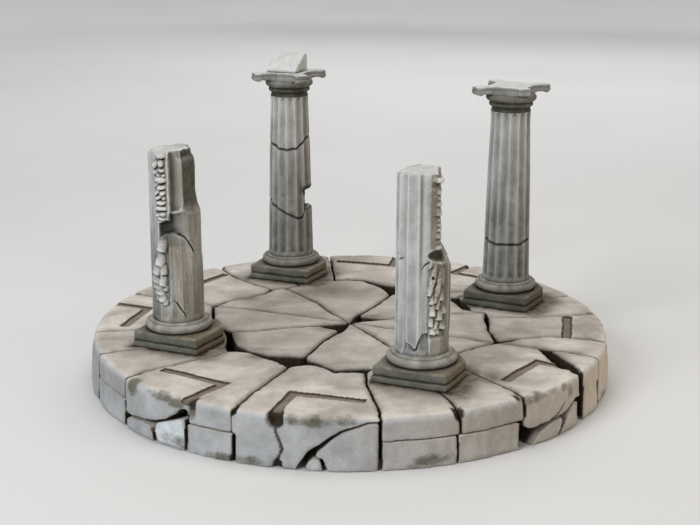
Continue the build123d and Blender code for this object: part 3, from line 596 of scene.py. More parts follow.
def weather_block(co, quads, voxel, seed):
    """Turns a remeshed CAD block of the base into worn stone. Returns vertices and attributes."""
    net = Net(quads, len(co))
    n = normals(co, quads)
    convex = -((net.mean(co) - co) * n).sum(1) / voxel
    r = np.hypot(co[:, 0], co[:, 1])
    az = np.degrees(np.arctan2(co[:, 1], co[:, 0]))
    kd = np.where(co[:, 2] > 10.5, key_distance(co[:, 0], co[:, 1]), 9.0) + 4.0 * (1 - step(15.6, 17.0, co[:, 2]))
    # the joint between two of the front slabs has closed up on the rim face
    shut = inside(co[:, 2], 9.9, 15.9, 0.5) * np.clip(1.6 - np.abs(wrap(az + 112.85)) * 1.76, 0, 1) * step(88, 91, r)
    near_edge = np.clip(net.spread(np.maximum(convex, 0), int(3 / voxel * 0.55)) * 7, 0, 1) * (1 - shut) * (1 - inside(kd, -1, 2.6, 0.4) * (co[:, 2] > 17) * (r < 97))
    halo = np.clip(net.spread(np.maximum(convex, 0) * (kd > 2.8), int(22 / voxel * 0.55)) * 9, 0, 1)
    rim = step(93.5, 97.5, r)
    arris = step(15.6, 17.2, co[:, 2]) * rim
    # round the edges: a little everywhere, more along the top of the rim
    for _ in range(2):
        co = co + 0.55 * (net.mean(co) - co)
    for _ in range(int(4 * (0.6 / voxel))):
        co = co + (0.6 * arris)[:, None] * (net.mean(co) - co)
    n = normals(co, quads)
    rad = np.stack([co[:, 0], co[:, 1], np.zeros(len(co))], 1) / np.maximum(r, 1e-6)[:, None]
    outward = (n * rad).sum(1)
    up = n[:, 2]
    face = step(0.35, 0.80, outward) * step(96.0, 98.5, r)
    z0 = co[:, 2].copy()
    depth = BASE_H - z0
    # grain and undulation
    d = -0.06 + 0.07 * fbm(co, 3.2, 3, seed) * (1 - 0.4 * face)
    d = d - 0.16 * np.abs(fbm(co, 17, 2, seed + 3)) * (1 - face)
    d = d + face * (0.30 * fbm(co, 16, 2, 52) + 0.10 * fbm(co, 4.0, 3, 57))
    d = d - 0.22 * np.maximum(noise(co, 1.7, 61) - 0.42, 0)
    # chipped edges
    chip = np.maximum(fbm(co, 4.6, 3, 71) - 0.10, 0)
    d = d - near_edge * (1.25 * chip + 0.05) * (1 - 0.75 * rim)
    # walls close in on the joints between blocks
    side = (1 - step(0.30, 0.60, np.abs(up))) * (1 - step(0.30, 0.60, outward * step(90, 96, r))) * (kd > 2.4)
    d = d + (0.20 + 0.12 * rim) * side + 0.16 * shut * side
    # undersides stay flat, the two rim courses nearly touch
    d = np.where((z0 < 0.35) & (up < -0.5), 0.0, d)
    new = co + n * d[:, None]
    # crisp L-shaped grooves
    inlay = (z0 > BASE_H - 1.7) & (kd < 2.1) & (r < 98.5)
    floor_z = BASE_H - 0.06 - 0.80 * (1 - step(1.15, 2.05, kd)) + 0.05 * noise(co, 2.0, 66)
    new[:, 2] = np.where(inlay & (up > 0.25), floor_z, np.where(inlay, np.minimum(new[:, 2], floor_z), new[:, 2]))
    # rim hollows, cracks and bulges
    dent = np.zeros(len(co))
    dark = np.zeros(len(co))
    blot = np.zeros(len(co))
    live = r > 88
    if live.any():
        idx = np.nonzero(live)[0]
        pa, pz, pp = az[idx], z0[idx], co[idx]
        dd, kk, bb = np.zeros(len(idx)), np.zeros(len(idx)), np.zeros(len(idx))
        for a0, zc, w, h, dep, s in DENTS:
            b = bowl(pa, pz, pp, a0, zc, w, h)
            dd = np.maximum(dd, dep * np.sqrt(b))
            kk = np.maximum(kk, s * np.clip(b * 2.6, 0, 1))
        sk = seam_depth(pa, pz)
        dd = np.maximum(dd, 1.1 * sk)
        kk = np.maximum(kk, sk)
        ss = np.zeros(len(idx))
        for a0, zc, w, h, s in STAINS:
            b = bowl(pa, pz, pp, a0, zc, w * 1.5, h * 1.5)
            ss = np.maximum(ss, s * b ** 0.8)
        for a0, zc, w, h, dep in BULGES:
            s = np.abs(wrap(pa - a0)) / w
            t = np.abs(pz - zc) / h
            bb = np.maximum(bb, dep * np.clip(1 - s ** 4, 0, 1) * np.clip(1 - t ** 4, 0, 1))
        pull = step(93.5, 98.6, r[idx])
        dent[idx] = dd * pull
        dark[idx] = kk * step(94.5, 98.6, r[idx])
        blot[idx] = ss * step(94.5, 98.8, r[idx])
        new[idx] += rad[idx] * ((bb - dd) * pull)[:, None]
        new[idx, 2] -= 0.30 * dd * pull * step(12, 17, pz)
    shift = warp(co)
    new[:, 0] += shift[:, 0]
    new[:, 1] += shift[:, 1]
    new[:, 2] = np.clip(new[:, 2], 0.0, BASE_H - 0.04)
    # attributes
    wall = 1 - step(0.30, 0.62, np.maximum(up, outward * step(95.5, 97.5, r)))
    wall = wall * (z0 > 0.5) * (1 - shut) * (1 - inside(kd, -1, 2.2, 0.2) * (z0 > 17.0) * (r < 98.5))
    ragged = 0.55 + 0.75 * fbm(co, 7, 3, 81)
    wash_and_shade = np.clip(wall * (0.40 + 0.60 * step(0.15, 1.8, depth)), 0, 1)
    wash_and_shade = np.maximum(wash_and_shade, 0.94 * dark * step(0.45, 0.90, dark))
    # the ragged vertical crack below the front groove, and painted shade in the hollow behind the front-right rubble
    zig = np.interp(z0, [0, 1.3, 4.3, 6.9, 10.7, 13.0, 15.0], [-104.3, -104.1, -103.5, -102.9, -103.6, -104.2, -104.3])
    wash_and_shade = np.maximum(wash_and_shade, 0.92 * face * np.exp(-((az - zig) / 0.26) ** 2) * (1 - step(14.5, 16.0, z0)))
    wash_and_shade = np.maximum(wash_and_shade, 0.88 * inside(az, -56.0, -45.5, 0.8) * inside(z0, -2.0, 8.6, 0.8) * (1 - step(96.8, 98.8, r)) * step(88, 90, r))
    haze = halo * np.clip(ragged, 0.15, 1.0) * step(0.4, 0.8, up) * (1 - rim)
    stain_and_shade = 0.60 * haze
    # a narrow brown line runs along the lips of the joints on the paving
    stain_and_shade = np.maximum(stain_and_shade, 0.62 * step(0.30, 0.95, near_edge) * step(0.3, 0.8, up) * (1 - rim) * np.clip(0.45 + ragged * 0.6, 0.2, 1))
    # painted shadow round each plinth: a dark contact shadow close round it, and a softer cast shadow shifted towards
    # +x and -y
    for k in TURN:
        dist = plinth_distance(co[:, 0], co[:, 1], k)
        dist2 = plinth_distance(co[:, 0], co[:, 1], k, 3.2, -0.6)
        stain_and_shade = np.maximum(stain_and_shade, step(0.3, 0.8, up) * np.clip(0.85 * np.exp(-(dist / 2.4) ** 1.4) + 0.30 * np.exp(-dist / 7) * np.clip(ragged, 0, 1), 0, 1))
        stain_and_shade = np.maximum(stain_and_shade, step(0.3, 0.8, up) * 0.76 * np.exp(-(dist2 / 5.0) ** 2))
    for x, y, a, b, s in PATCHES:
        q = ((co[:, 0] - x) / a) ** 2 + ((co[:, 1] - y) / b) ** 2
        q = q * (1 + 0.5 * noise(co, 5, 85))
        stain_and_shade = np.maximum(stain_and_shade, s * np.exp(-q * 1.1) * step(0.3, 0.8, up) * (1 - rim))
    stain_and_shade = np.maximum(stain_and_shade, 0.85 * dark)
    # a seam's two lips on the rim carry a narrow brown line
    stain_and_shade = np.maximum(stain_and_shade, 0.34 * face * np.clip(near_edge * 1.2, 0, 1) * np.clip(ragged + 0.1, 0, 1) * (1 - arris))
    edge = np.clip(near_edge * 0.5 * (1 - wall) * (1 - stain_and_shade), 0, 1) * step(0.0, 0.5, fbm(co, 6, 3, 91) + 0.35) * (0.20 + 0.40 * rim)
    lip = np.exp(-((depth - 0.8) / 1.2) ** 2) * step(97, 99, r) * (1 - wall) * (1 - np.clip(blot * 1.6, 0, 1))
    edge = np.maximum(edge, 0.30 * lip * (1 - dark))
    # the lower part of the rim face is a little lighter, and the rubble stone at the front left gets a painted
    # highlight, almost white, where the light falls on it
    edge = np.maximum(edge, 0.14 * face * (1 - step(3.0, 10.0, z0)) * (1 - wash_and_shade))
    edge = np.maximum(edge, 0.86 * face * inside(az, -131.2, -123.8, 0.4) * inside(z0, 1.0, 11.6, 1.0) * (seed_low(z0, az)))
    return new, {"wash_and_shade": np.clip(wash_and_shade, 0, 1), "stain_and_shade": np.clip(stain_and_shade, 0, 1), "edge": np.clip(edge, 0, 1), "face": face, "blot": np.clip(blot, 0, 1), "kd": np.clip(kd, 0, 5)}


# ------------------------------------------------------------------ base blocks
jobs, parts = {}, {}
base_nodes = [n for n in NODES if BODY_OF[n] == "base" and n != "core_disc"]
for node in base_nodes:
    v, t = read_node(node)
    lab = islands(len(v), t)
    slab = "slab" in node
    voxel = (0.60 if slab else 0.50) * COARSE
    for k in np.unique(lab[t[:, 0]]):
        keep = t[lab[t[:, 0]] == k]
        ids, inv = np.unique(keep, return_inverse=True)
        jobs[(node, int(k))] = (v[ids], inv.reshape(-1, 3), voxel)
for (node, k), (co, quads) in remesh(jobs).items():
    parts.setdefault(node, []).append((co, quads, jobs[(node, k)][2]))
for i, node in enumerate(sorted(parts)):
    cos, fs, ats, off = [], [], [], 0
    for co, quads, voxel in parts[node]:
        new, at = weather_block(co, quads, voxel, 100 + i * 3)
        cos.append(new)
        fs.append(quads + off)
        ats.append(at)
        off += len(co)
    attrs = {k: np.concatenate([a[k] for a in ats]) for k in ats[0]}
    write(node, np.concatenate(cos), [np.concatenate(fs)], attrs, "base")
del jobs, parts


# ------------------------------------------------------------------ turned pieces
FLUTES = 14
RIDGE = {"front_left": -73.0, "back_left": -70.5, "back_right": -96.7, "front_right": -77.0}
NECK_Z, STUMP_Z, ECHINUS_Z, ABACUS_Z, CROWN_Z = 98.2, 93.0, 104.9, 108.5, 115.8


def blur(f, along_theta, along_z):
    """Small box-ish blur of a chart; the chart wraps in theta (axis 1)."""
    for _ in range(2):
        if along_theta:
            acc = 0
            for k in range(-along_theta, along_theta + 1):
                acc = acc + np.roll(f, k, axis=1)
            f = acc / (2 * along_theta + 1)
        if along_z:
            pad = np.concatenate([np.repeat(f[:1], along_z, 0), f, np.repeat(f[-1:], along_z, 0)])
            acc = 0
            for k in range(2 * along_z + 1):
                acc = acc + pad[k:k + f.shape[0]]
            f = acc / (2 * along_z + 1)
    return f


def flute(th, z, ridge, depth, z_top=None):
    """How far the fluted surface lies inside the shaft's round outline."""
    phi = (wrap(th - ridge) / (360.0 / FLUTES)) % 1.0 - 0.5
    bow = 1 - (2 * phi) ** 2
    k = step(FOOT_Z + 0.4, FOOT_Z + 2.6, z)
    if z_top is not None:
        k = k * step(0.0, 1.1, (z_top - 2.0 * (2 * phi) ** 2) - z)
    return depth * bow * k


def ring_mesh(r, z, th, cx, cy, bottom, top, rng=0.0):
    """Mesh of a closed turned body: r, z charts (rows, columns), with caps whose height is bottom(x, y) and top(x, y). Returns vertices, faces, row of each vertex."""
    rows, cols = r.shape
    c, s = np.cos(np.radians(th)), np.sin(np.radians(th))
    shells, row_of = [], []
    fac = (0.90, 0.74, 0.56, 0.38, 0.20)
    for f in fac[::-1]:
        x, y = r[0] * f * c, r[0] * f * s
        shells.append(np.stack([x, y, bottom(x, y)], 1))
        row_of.append(0)
    for i in range(rows):
        shells.append(np.stack([r[i] * c, r[i] * s, z[i]], 1))
        row_of.append(i)
    for f in fac:
        x, y = r[-1] * f * c, r[-1] * f * s
        shells.append(np.stack([x, y, top(x, y)], 1))
        row_of.append(rows - 1)
    grid = np.concatenate(shells)
    m = len(shells)
    a = (np.arange(m - 1)[:, None] * cols + np.arange(cols)[None, :]).ravel()
    b = (np.arange(m - 1)[:, None] * cols + (np.arange(cols)[None, :] + 1) % cols).ravel()
    quads = np.stack([a, b, b + cols, a + cols], 1)
    first, last = len(grid), len(grid) + 1
    ends = np.array([[0, 0, bottom(np.zeros(1), np.zeros(1))[0]], [0, 0, top(np.zeros(1), np.zeros(1))[0]]])
    k = np.arange(cols)
    fan0 = np.stack([np.full(cols, first), (k + 1) % cols, k], 1)
    base = (m - 1) * cols
    fan1 = np.stack([np.full(cols, last), base + k, base + (k + 1) % cols], 1)
    co = np.concatenate([grid, ends])
    co[:, 0] += cx
    co[:, 1] += cy
    shell = np.concatenate([np.repeat(np.arange(m), cols), [0, m - 1]])
    inner = len(fac)
    return co, quads, np.concatenate([fan0, fan1]), shell, inner


def spread_attr(chart, inner, cap0, cap1):
    """Chart values to vertices, with constant values on the two caps."""
    cols = chart.shape[1]
    return np.concatenate([np.full(cols * inner, cap0), chart.ravel(), np.full(cols * inner, cap1), [cap0, cap1]])


def turned_piece(node, r, z, th, bottom, top, charts, mat="column", top_edge=0.0):
    col = next(c for c in TURN if node.startswith(c))
    cx, cy = CENTRE[col]
    co, quads, tris, shell, inner = ring_mesh(r, z, th, cx, cy, bottom, top)
    caps = {"wash_and_shade": (0.6, 0.0), "stain_and_shade": (0.3, 0.05), "edge": (0.0, top_edge), "warm": (0.3, 0.4)}
    attrs = {k: spread_attr(charts[k], inner, *caps[k]) for k in caps}
    return write(node, co, [quads, tris], attrs, mat)


def cavity(r, dth, fine=2, wide=7):
    """Signed hollow (+) and ridge (-) of a chart of radii, at two scales."""
    return blur(r, fine, fine) - r, blur(r, wide, wide) - r


def chart(z0, z1, dz, cols):
    rows = max(3, int((z1 - z0) / (dz * COARSE)) + 1)
    cols = int(cols / COARSE) // 2 * 2
    th = np.arange(cols) * 360.0 / cols - 180.0
    return th, np.linspace(z0, z1, rows)


def pts(th, z, r=9.5):
    return np.stack([r * np.cos(np.radians(th)).ravel(), r * np.sin(np.radians(th)).ravel(), z.ravel()], 1)


def chunks(th, z, r, su, sv, seed, lean=0.6, slant=0.30):
    """Broken stone: tilted, domed flakes that stand out most at their lower side and drop sharply behind it. About 0..1."""
    u, v = np.radians(th) * r / su, z / sv
    p = pts(th, z, r)
    u = u + 0.30 * noise(p, 2.2, seed + 1).reshape(th.shape) + slant * v
    v = v + 0.26 * noise(p, 2.2, seed + 2).reshape(th.shape)
    d1, d2, rnd, ox, oy = cells(u, v, seed)
    turn = (rnd[..., 1] - 0.5) * 1.9
    tilt = 0.5 - lean * 1.5 * (oy * np.cos(turn) + ox * np.sin(turn))
    dome = np.sqrt(np.clip(1 - (d1 / 0.80) ** 2, 0, 1))
    crease = np.clip((d2 - d1) / 0.16, 0, 1)
    h = 0.26 * rnd[..., 0] + 0.52 * np.clip(tilt, 0, 1.1) + 0.34 * dome
    h = h + 0.10 * noise(p, 0.9, seed + 3).reshape(th.shape)
    return np.clip(h, 0, 1.2) * (0.30 + 0.70 * crease ** 0.5), crease


def crack_line(th, z, line, width):
    """1 on a thin line through (azimuth, height) points, falling off within width (mm); width may be a list per point."""
    out = np.zeros(th.shape)
    w = width if isinstance(width, (list, tuple)) else [width] * len(line)
    for (a0, z0), (a1, z1), w0, w1 in zip(line, line[1:], w, w[1:]):
        s0, s1 = math.radians(a0) * 9.5, math.radians(a1) * 9.5
        s = np.radians(th) * 9.5
        dx, dz = s1 - s0, z1 - z0
        t = np.clip(((s - s0) * dx + (z - z0) * dz) / (dx * dx + dz * dz), 0, 1)
        d = np.hypot(s - s0 - t * dx, z - z0 - t * dz)
        out = np.maximum(out, np.clip(1 - d / (w0 + (w1 - w0) * t), 0, 1))
    return out


def finish_charts(r, hollow, ridge, extra_wash_and_shade=0.0, extra_stain_and_shade=0.0, warm=0.0, rub=0.0, foot=True, z=None):
    """Charts of dark wash and painted shade, of stain and painted shade, and of light edges for a turned piece, from
    its hollows and the extra darkening passed in.
    """
    wash_and_shade = np.clip(extra_wash_and_shade + np.clip(hollow * 1.9 - 0.10, 0, 0.9) * rub, 0, 1)
    stain_and_shade = np.clip(extra_stain_and_shade + np.clip(ridge * 0.55 - 0.02, 0, 0.55), 0, 1)
    edge = np.clip(-hollow * 2.6 - 0.02, 0, 0.75) + np.clip(-ridge * 0.55 - 0.06, 0, 0.35)
    return {"wash_and_shade": wash_and_shade, "stain_and_shade": stain_and_shade, "edge": np.clip(edge, 0, 1) * (1 - wash_and_shade), "warm": np.clip(warm + 0 * r, 0, 1)}


def under(h):
    """Where a flake hangs over the chart just below it."""
    n = max(1, round(2 / COARSE))
    return step(0.22, 0.60, np.roll(h, -n, 0) - h)


def flakes(th, z, r, items, seed):
    """Knobs and overlapping flakes of broken stone, 0..1. Each: azimuth, height, half width and half height in mm, lean, how far it stands out,
    and leaf: 0 a round knob, 1 a flake that rises towards its lower end and drops off sharply."""
    p = pts(th, z, r)
    wx, wz = 0.22 * noise(p, 1.5, seed).reshape(th.shape), 0.22 * noise(p, 1.5, seed + 1).reshape(th.shape)
    fine = 0.10 * noise(p, 0.7, seed + 2).reshape(th.shape)
    h = np.zeros(th.shape)
    for t0, z0, a, b, lean, high, leaf in items:
        x, y = np.radians(wrap(th - t0)) * r + wx, z - z0 + wz
        c, s = math.cos(math.radians(lean)), math.sin(math.radians(lean))
        u, v = (x * c - y * s) / a, (x * s + y * c) / b
        knob = np.sqrt(np.clip(1.15 - u * u - v * v, 0, 1))
        w = 1 - 0.42 * np.clip(v, 0, 1.3) ** 1.5
        body = np.clip(1 - np.abs(u / w) ** 2.6, 0, 1) ** 0.5
        rise = np.clip((1.15 - v) / 2.0, 0, 1) ** 0.8
        form = body * (0.22 + 0.78 * rise) * step(-1.12, -0.90, v) * (1 - step(1.0, 1.3, v))
        h = np.maximum(h, high * ((1 - leaf) * knob + leaf * form) * (1 + fine))
    return h


KNOBS_FL = [
    (-116.1, 92.4, 2.6, 1.5, 8, 1.00, 0.2), (-131.6, 88.8, 1.6, 1.3, -10, 0.85, 0.3), (-114.9, 89.2, 1.2, 1.4, 5, 0.85, 0.3),
    (-134.3, 85.9, 1.7, 0.9, 0, 0.70, 0.2), (-115.1, 86.5, 1.5, 0.8, 0, 0.62, 0.2), (-123.8, 84.5, 1.2, 0.6, 10, 0.65, 0.2),
    (-110.5, 84.7, 1.1, 0.6, 0, 0.55, 0.2), (-117.8, 83.0, 2.5, 1.2, -4, 1.00, 0.25), (-131.0, 81.1, 1.6, 0.7, -20, 0.60, 0.3),
    (-116.8, 80.1, 2.2, 0.9, -12, 0.85, 0.3), (-128.8, 78.1, 1.6, 0.7, -25, 0.72, 0.3), (-113.5, 77.9, 1.4, 0.9, -25, 0.85, 0.3),
    (-124.9, 76.1, 1.6, 0.7, -25, 0.80, 0.3), (-110.7, 76.1, 0.8, 0.7, 0, 0.60, 0.3), (-118.9, 74.3, 2.3, 0.8, -8, 0.90, 0.3),
    (-120.3, 72.2, 2.8, 0.9, -4, 0.95, 0.3), (-128.4, 69.6, 1.6, 0.8, 0, 0.72, 0.3), (-114.3, 70.1, 1.3, 0.9, 0, 0.80, 0.3),
    (-120.0, 68.3, 2.1, 0.7, 4, 0.72, 0.2)]
FLAKES_FL = [
    (-117.3, 58.6, 2.3, 2.9, 14, 1.00, 0.9), (-125.2, 52.5, 2.5, 2.4, 14, 1.00, 0.9), (-140.2, 48.4, 2.2, 1.9, 12, 0.90, 0.9),
    (-116.4, 49.1, 1.5, 2.2, -4, 0.95, 0.9), (-146.0, 44.6, 3.1, 1.3, 20, 0.80, 0.8), (-118.4, 44.6, 1.8, 2.1, 6, 1.00, 0.9),
    (-140.1, 41.8, 2.9, 1.0, 12, 0.78, 0.7), (-111.3, 41.7, 1.1, 1.2, 20, 0.60, 0.8), (-130.5, 40.0, 2.5, 1.2, 14, 0.85, 0.8),
    (-121.9, 37.7, 1.7, 1.4, 20, 0.90, 0.9), (-113.7, 36.1, 1.0, 1.1, 20, 0.70, 0.9), (-100.6, 37.7, 0.6, 1.2, 10, 0.45, 0.6),
    (-137.1, 37.3, 1.3, 1.2, 10, 0.55, 0.8)]
KNOBS_FR = [
    (-63.0, 91.3, 3.6, 0.9, 3, 1.20, 0.4), (-60.5, 87.3, 1.9, 0.9, -10, 0.85, 0.5), (-61.0, 85.1, 1.5, 0.8, 8, 0.60, 0.4),
    (-60.6, 83.0, 1.9, 1.0, 10, 0.90, 0.5), (-65.5, 80.4, 2.2, 1.6, 14, 0.85, 0.6), (-59.5, 79.7, 1.6, 1.1, 0, 1.00, 0.5),
    (-61.6, 77.4, 1.7, 0.8, -8, 0.62, 0.4), (-60.4, 75.7, 1.9, 0.8, 5, 0.80, 0.5), (-60.6, 74.1, 1.8, 0.9, 0, 0.88, 0.5),
    (-61.9, 71.8, 2.4, 1.2, 8, 0.92, 0.5), (-60.6, 69.8, 1.6, 0.8, 0, 0.65, 0.4), (-60.3, 67.9, 2.2, 1.0, -6, 0.90, 0.5)]
FLAKES_FR = [
    (-71.3, 56.6, 1.3, 5.9, 14, 0.82, 0.6), (-74.8, 53.1, 0.9, 2.6, 18, 0.95, 0.8), (-54.5, 55.0, 1.4, 5.4, 14, 0.80, 0.6),
    (-43.4, 57.1, 1.4, 3.4, 4, 0.70, 0.5), (-62.8, 50.0, 0.9, 2.2, 16, 0.78, 0.9), (-71.8, 49.0, 1.0, 1.6, 10, 0.85, 0.9),
    (-46.6, 50.6, 1.3, 2.4, 10, 0.82, 0.9), (-70.1, 45.4, 1.3, 2.5, 6, 1.00, 0.9), (-56.6, 47.7, 1.0, 2.4, 18, 0.75, 0.9),
    (-39.9, 45.1, 1.6, 1.6, -6, 1.00, 0.9), (-52.9, 43.3, 1.6, 1.9, 10, 1.00, 0.9), (-36.0, 40.6, 1.1, 1.4, 0, 0.60, 0.8),
    (-73.6, 40.9, 1.1, 1.7, 4, 0.85, 0.9), (-61.1, 40.1, 0.9, 2.1, 22, 0.85, 0.9), (-42.8, 39.0, 1.8, 1.3, 14, 0.95, 0.9),
    (-69.3, 37.9, 1.4, 1.6, 10, 1.00, 0.9), (-58.4, 37.7, 1.0, 1.2, 20, 0.80, 0.9)]

# ---- front-left stump: azimuth -82.5 faces the viewer
th, zz = chart(FOOT_Z - 0.3, 93.0, 0.30, 336)
TH, Z = np.meshgrid(th, zz)
P = pts(TH, Z)
n1 = noise(P, 3.0, 201).reshape(TH.shape)
n2 = noise(P, 1.1, 202).reshape(TH.shape)
A = TH + 2.2 * n1 + 1.0 * n2          # wandering azimuth for ragged edges
ZA = Z + 0.35 * n1 + 0.2 * n2
R0 = np.interp(Z, [FOOT_Z, 93], [9.8, 9.35])
skin = R0 - flute(TH, Z, RIDGE["front_left"], 0.75) + 0.04 * n1
soft_skin = R0 - flute(TH, Z, RIDGE["front_left"], 0.45) - 0.05
# lower skin: softer flutes on its right-hand side
k = inside(TH, -92, 60, 6)
low = skin * (1 - k) + soft_skin * k
# core that shows where the skin is lost
core_r = np.interp(Z, [60, 66, 69.6, 72.5, 77, 87, 89.5, 91, 93], [9.3, 9.35, 9.2, 8.2, 7.65, 7.6, 7.3, 6.4, 6.2])
core_r = core_r + 0.10 * noise(P, 9, 205).reshape(TH.shape)
cove = np.interp(TH, [-98, -95, -91, -86, -80, -73, -67, -63], [7.6, 6.3, 5.8, 5.8, 6.2, 7.0, 7.75, 8.15])
core_r = core_r + 0.35 * np.exp(-((TH + 62) / 4.0) ** 2) * step(72, 74, Z)
up = step(70.3, 71.5, Z - 4.0 * np.clip((TH + 76) / 13, 0, 1) ** 2)
in_cove = inside(A, -97.0, -63.5, 1.4) * up
core = core_r * (1 - in_cove) + np.minimum(core_r, cove) * in_cove
# deep scoop under the upper skin
scoop = inside(TH, -124.5, -98, 1.6) * inside(ZA, 60.5, 66.4 + 0.07 * (TH + 125), 0.45)
scoop = np.maximum(scoop, inside(TH, -101, -40, 5) * inside(ZA, 58.0, 70.6, 0.7))
deep = np.interp(TH, [-126, -119, -108, -96, -84, -70, -52, -34], [8.3, 7.3, 6.6, 6.3, 6.7, 7.6, 8.8, 9.3])
deep = deep + np.interp(TH, [-110, -96, -60], [0.5, 1, 0.3]) * (0.9 * np.clip((64.6 - Z) / 4, 0, 1) ** 2 + 1.3 * np.clip((Z - 68.4) / 2.6, 0, 1) ** 2)
# where the upper skin survives: from the broken edge round the back
keep_skin = 1 - inside(A, -97.5, 62, 1.2)
upper = skin * keep_skin + core * (1 - keep_skin)
upper = upper * (1 - scoop) + np.minimum(upper, deep) * scoop
# the broken-through strip with its lumps
left = np.interp(Z, [66, 67.5, 69, 75, 82, 88, 94], [-124, -128, -137, -136, -138, -140, -136])
strip = step(-1.3, 1.3, A - left) * (1 - step(-98.6, -96.6, TH + 0.8 * n2)) * step(67.2, 68.2, ZA)
knobs = flakes(TH, Z, 9.5, KNOBS_FL, 211)
lump = np.interp(TH, [-140, -130, -105, -98], [8.9, 8.45, 8.3, 8.6]) + 0.12 * n2
lump = np.maximum(lump, 8.15 + 1.85 * knobs)
upper = upper * (1 - strip) + lump * strip
# ragged edge of the skin at the back
back = inside(A, 56, 74, 2) * step(66, 69, Z)
ch2, _ = chunks(TH, Z, 9.2, 3.0, 2.7, 215)
upper = upper * (1 - back) + (8.0 + 1.5 * ch2) * back
# join the two: the lower skin ends in a domed lip
lip = np.interp(TH, [-180, -150, -138, -125, -111, -96, -84, -73, -62, -52, -44, -30, 0, 50, 60, 75, 90], [99, 99, 60.2, 61.0, 62.6, 63.0, 62.9, 61.9, 60.6, 58.8, 56.2, 53.5, 52, 55, 69, 99, 99])
below = 1 - step(-0.22, 0.22, Z - lip - 0.15 * n2)
lip_edge = np.exp(-((Z - lip + 0.5) / 0.5) ** 2) * inside(TH, -124, -70, 4)
r = low * below + upper * (1 - below) + 0.16 * lip_edge
# lower strip of flakes
l_left = np.interp(Z, [34.5, 36, 38, 41, 44.5, 48, 51, 54, 58, 61, 62], [-106, -122, -138, -148, -152, -148, -142, -132, -128, -119, -112])
lstrip = step(-3.0, 3.0, A - l_left) * (1 - step(-107, -93, TH + 0.4 * n1)) * inside(Z, 34.4, 61.6, 1.6)
leaves = flakes(TH, Z, 9.5, FLAKES_FL, 221)
hollow_side = r - np.interp(TH, [-150, -128, -112, -100], [0.15, 0.50, 0.85, 0.85]) + 0.08 * n2
r = r * (1 - lstrip) + np.maximum(hollow_side, 8.35 + 2.0 * leaves) * lstrip
r = np.maximum(r, (8.35 + 2.0 * leaves) * step(0.35, 0.5, leaves))
# cracks
c1 = crack_line(TH + 0.8 * n1, ZA, [(-92, 37.0), (-86, 36.2), (-80, 34.4), (-70, 31.8), (-64, 29.8)], [0.12, 0.34, 0.34, 0.26, 0.08])
c2 = crack_line(TH + 0.5 * n1, ZA, [(-84, 62.9), (-72, 62.2), (-62, 61.2), (-54, 59.6), (-47, 57.2), (-42, 55.4), (-39, 54.4)], [0.08, 0.22, 0.30, 0.38, 0.46, 0.50, 0.15])
r = r - 0.9 * c1 - 0.9 * c2
# foot and small wear
r = r + 0.05 * n2 - 0.12 * np.maximum(noise(P, 1.3, 230).reshape(TH.shape) - 0.4, 0)
r = np.where(Z < FOOT_Z + 0.2, np.minimum(r, 9.7), r)
h1, h2 = cavity(r, 1)
rub = np.clip(strip + lstrip + back, 0, 1)
# painted shadow in the scoop under the upper skin and under the lower edges of flakes and knobs; the cracks are dark
dark = 0.85 * scoop * np.interp(TH, [-126, -110, -98, -84, -66], [0.95, 1.0, 0.78, 0.42, 0.0]) * step(59, 64.5, Z) * (1 - 0.6 * step(67.5, 70.5, Z))
dark = np.maximum(dark, np.maximum(c1, c2) ** 0.5 * 0.96)
dark = np.maximum(dark, 0.80 * np.maximum(under(leaves), under(knobs) * strip))
stain_and_shade = 0.10 * in_cove + 0.20 * (1 - keep_skin) * step(66, 70, Z)
stain_and_shade = stain_and_shade + 0.34 * inside(TH, -178, -128, 10) * (1 - step(58, 66, Z)) * (1 - step(0.1, 0.4, leaves)) + 0.20 * inside(TH, -170, -136, 8) * (1 - step(50, 60, Z)) + 0.30 * inside(TH, -114, -94, 6) * inside(Z, 37, 61.5, 2.0)
# painted shade on the lobe right of the cove, which faces away from the light, and painted shadow in the scoop
stain_and_shade = stain_and_shade + 0.62 * step(-64, -57, TH) * (1 - step(50, 70, TH)) * step(69, 75, Z) + 0.40 * scoop * np.interp(TH, [-126, -96, -70, -45], [0.9, 1.0, 0.7, 0.0])
stain_and_shade = stain_and_shade + 0.34 * (1 - step(FOOT_Z + 0.2, FOOT_Z + 1.8, Z)) + 0.12 * (1 - step(28, 40, Z))
# warm tint painted stronger on the front and right and weaker at the back left: painted light and shade for the warm
# and the cool lamp
warm = 0.45 + 0.35 * inside(TH, -100, 40, 12) - 0.30 * (1 - step(-150, -125, TH))
ca = finish_charts(r, h1, h2, dark, stain_and_shade, warm, 0.25 + 0.75 * rub)
# painted highlights on the tops of knobs and flakes, in the cove, along the lip of the lower skin and on the upper skin
# where the light falls
ca["edge"] = np.clip(ca["edge"] + 0.42 * step(0.45, 0.9, np.maximum(knobs * strip, leaves)) * (1 - 0.6 * step(-108, -96, TH)) + 0.22 * in_cove + 0.35 * lip_edge + 0.16 * step(62, 84, Z) * (1 - rub) * keep_skin, 0, 1) * (1 - ca["wash_and_shade"])
plane = lambda x, y: 92.1 + 1.1 * (x + 10) / 20 + 0.25 * np.sin(0.9 * x + 0.4) * np.cos(0.8 * y) + 0.18 * np.sin(2.3 * y + x)
last = plane(r[-1] * np.cos(np.radians(th)), r[-1] * np.sin(np.radians(th)))
Zs = FOOT_Z - 0.05 + (Z - Z[0]) / (Z[-1] - Z[0]) * (last[None, :] - FOOT_Z + 0.05)
rr = r.copy()
rr[-1] = r[-1] - 0.22
rr[-2] = r[-2] - 0.05
turned_piece("front_left_shaft", rr, Zs, th, lambda x, y: FOOT_Z - 0.05 + 0 * x, plane, ca, top_edge=0.45)

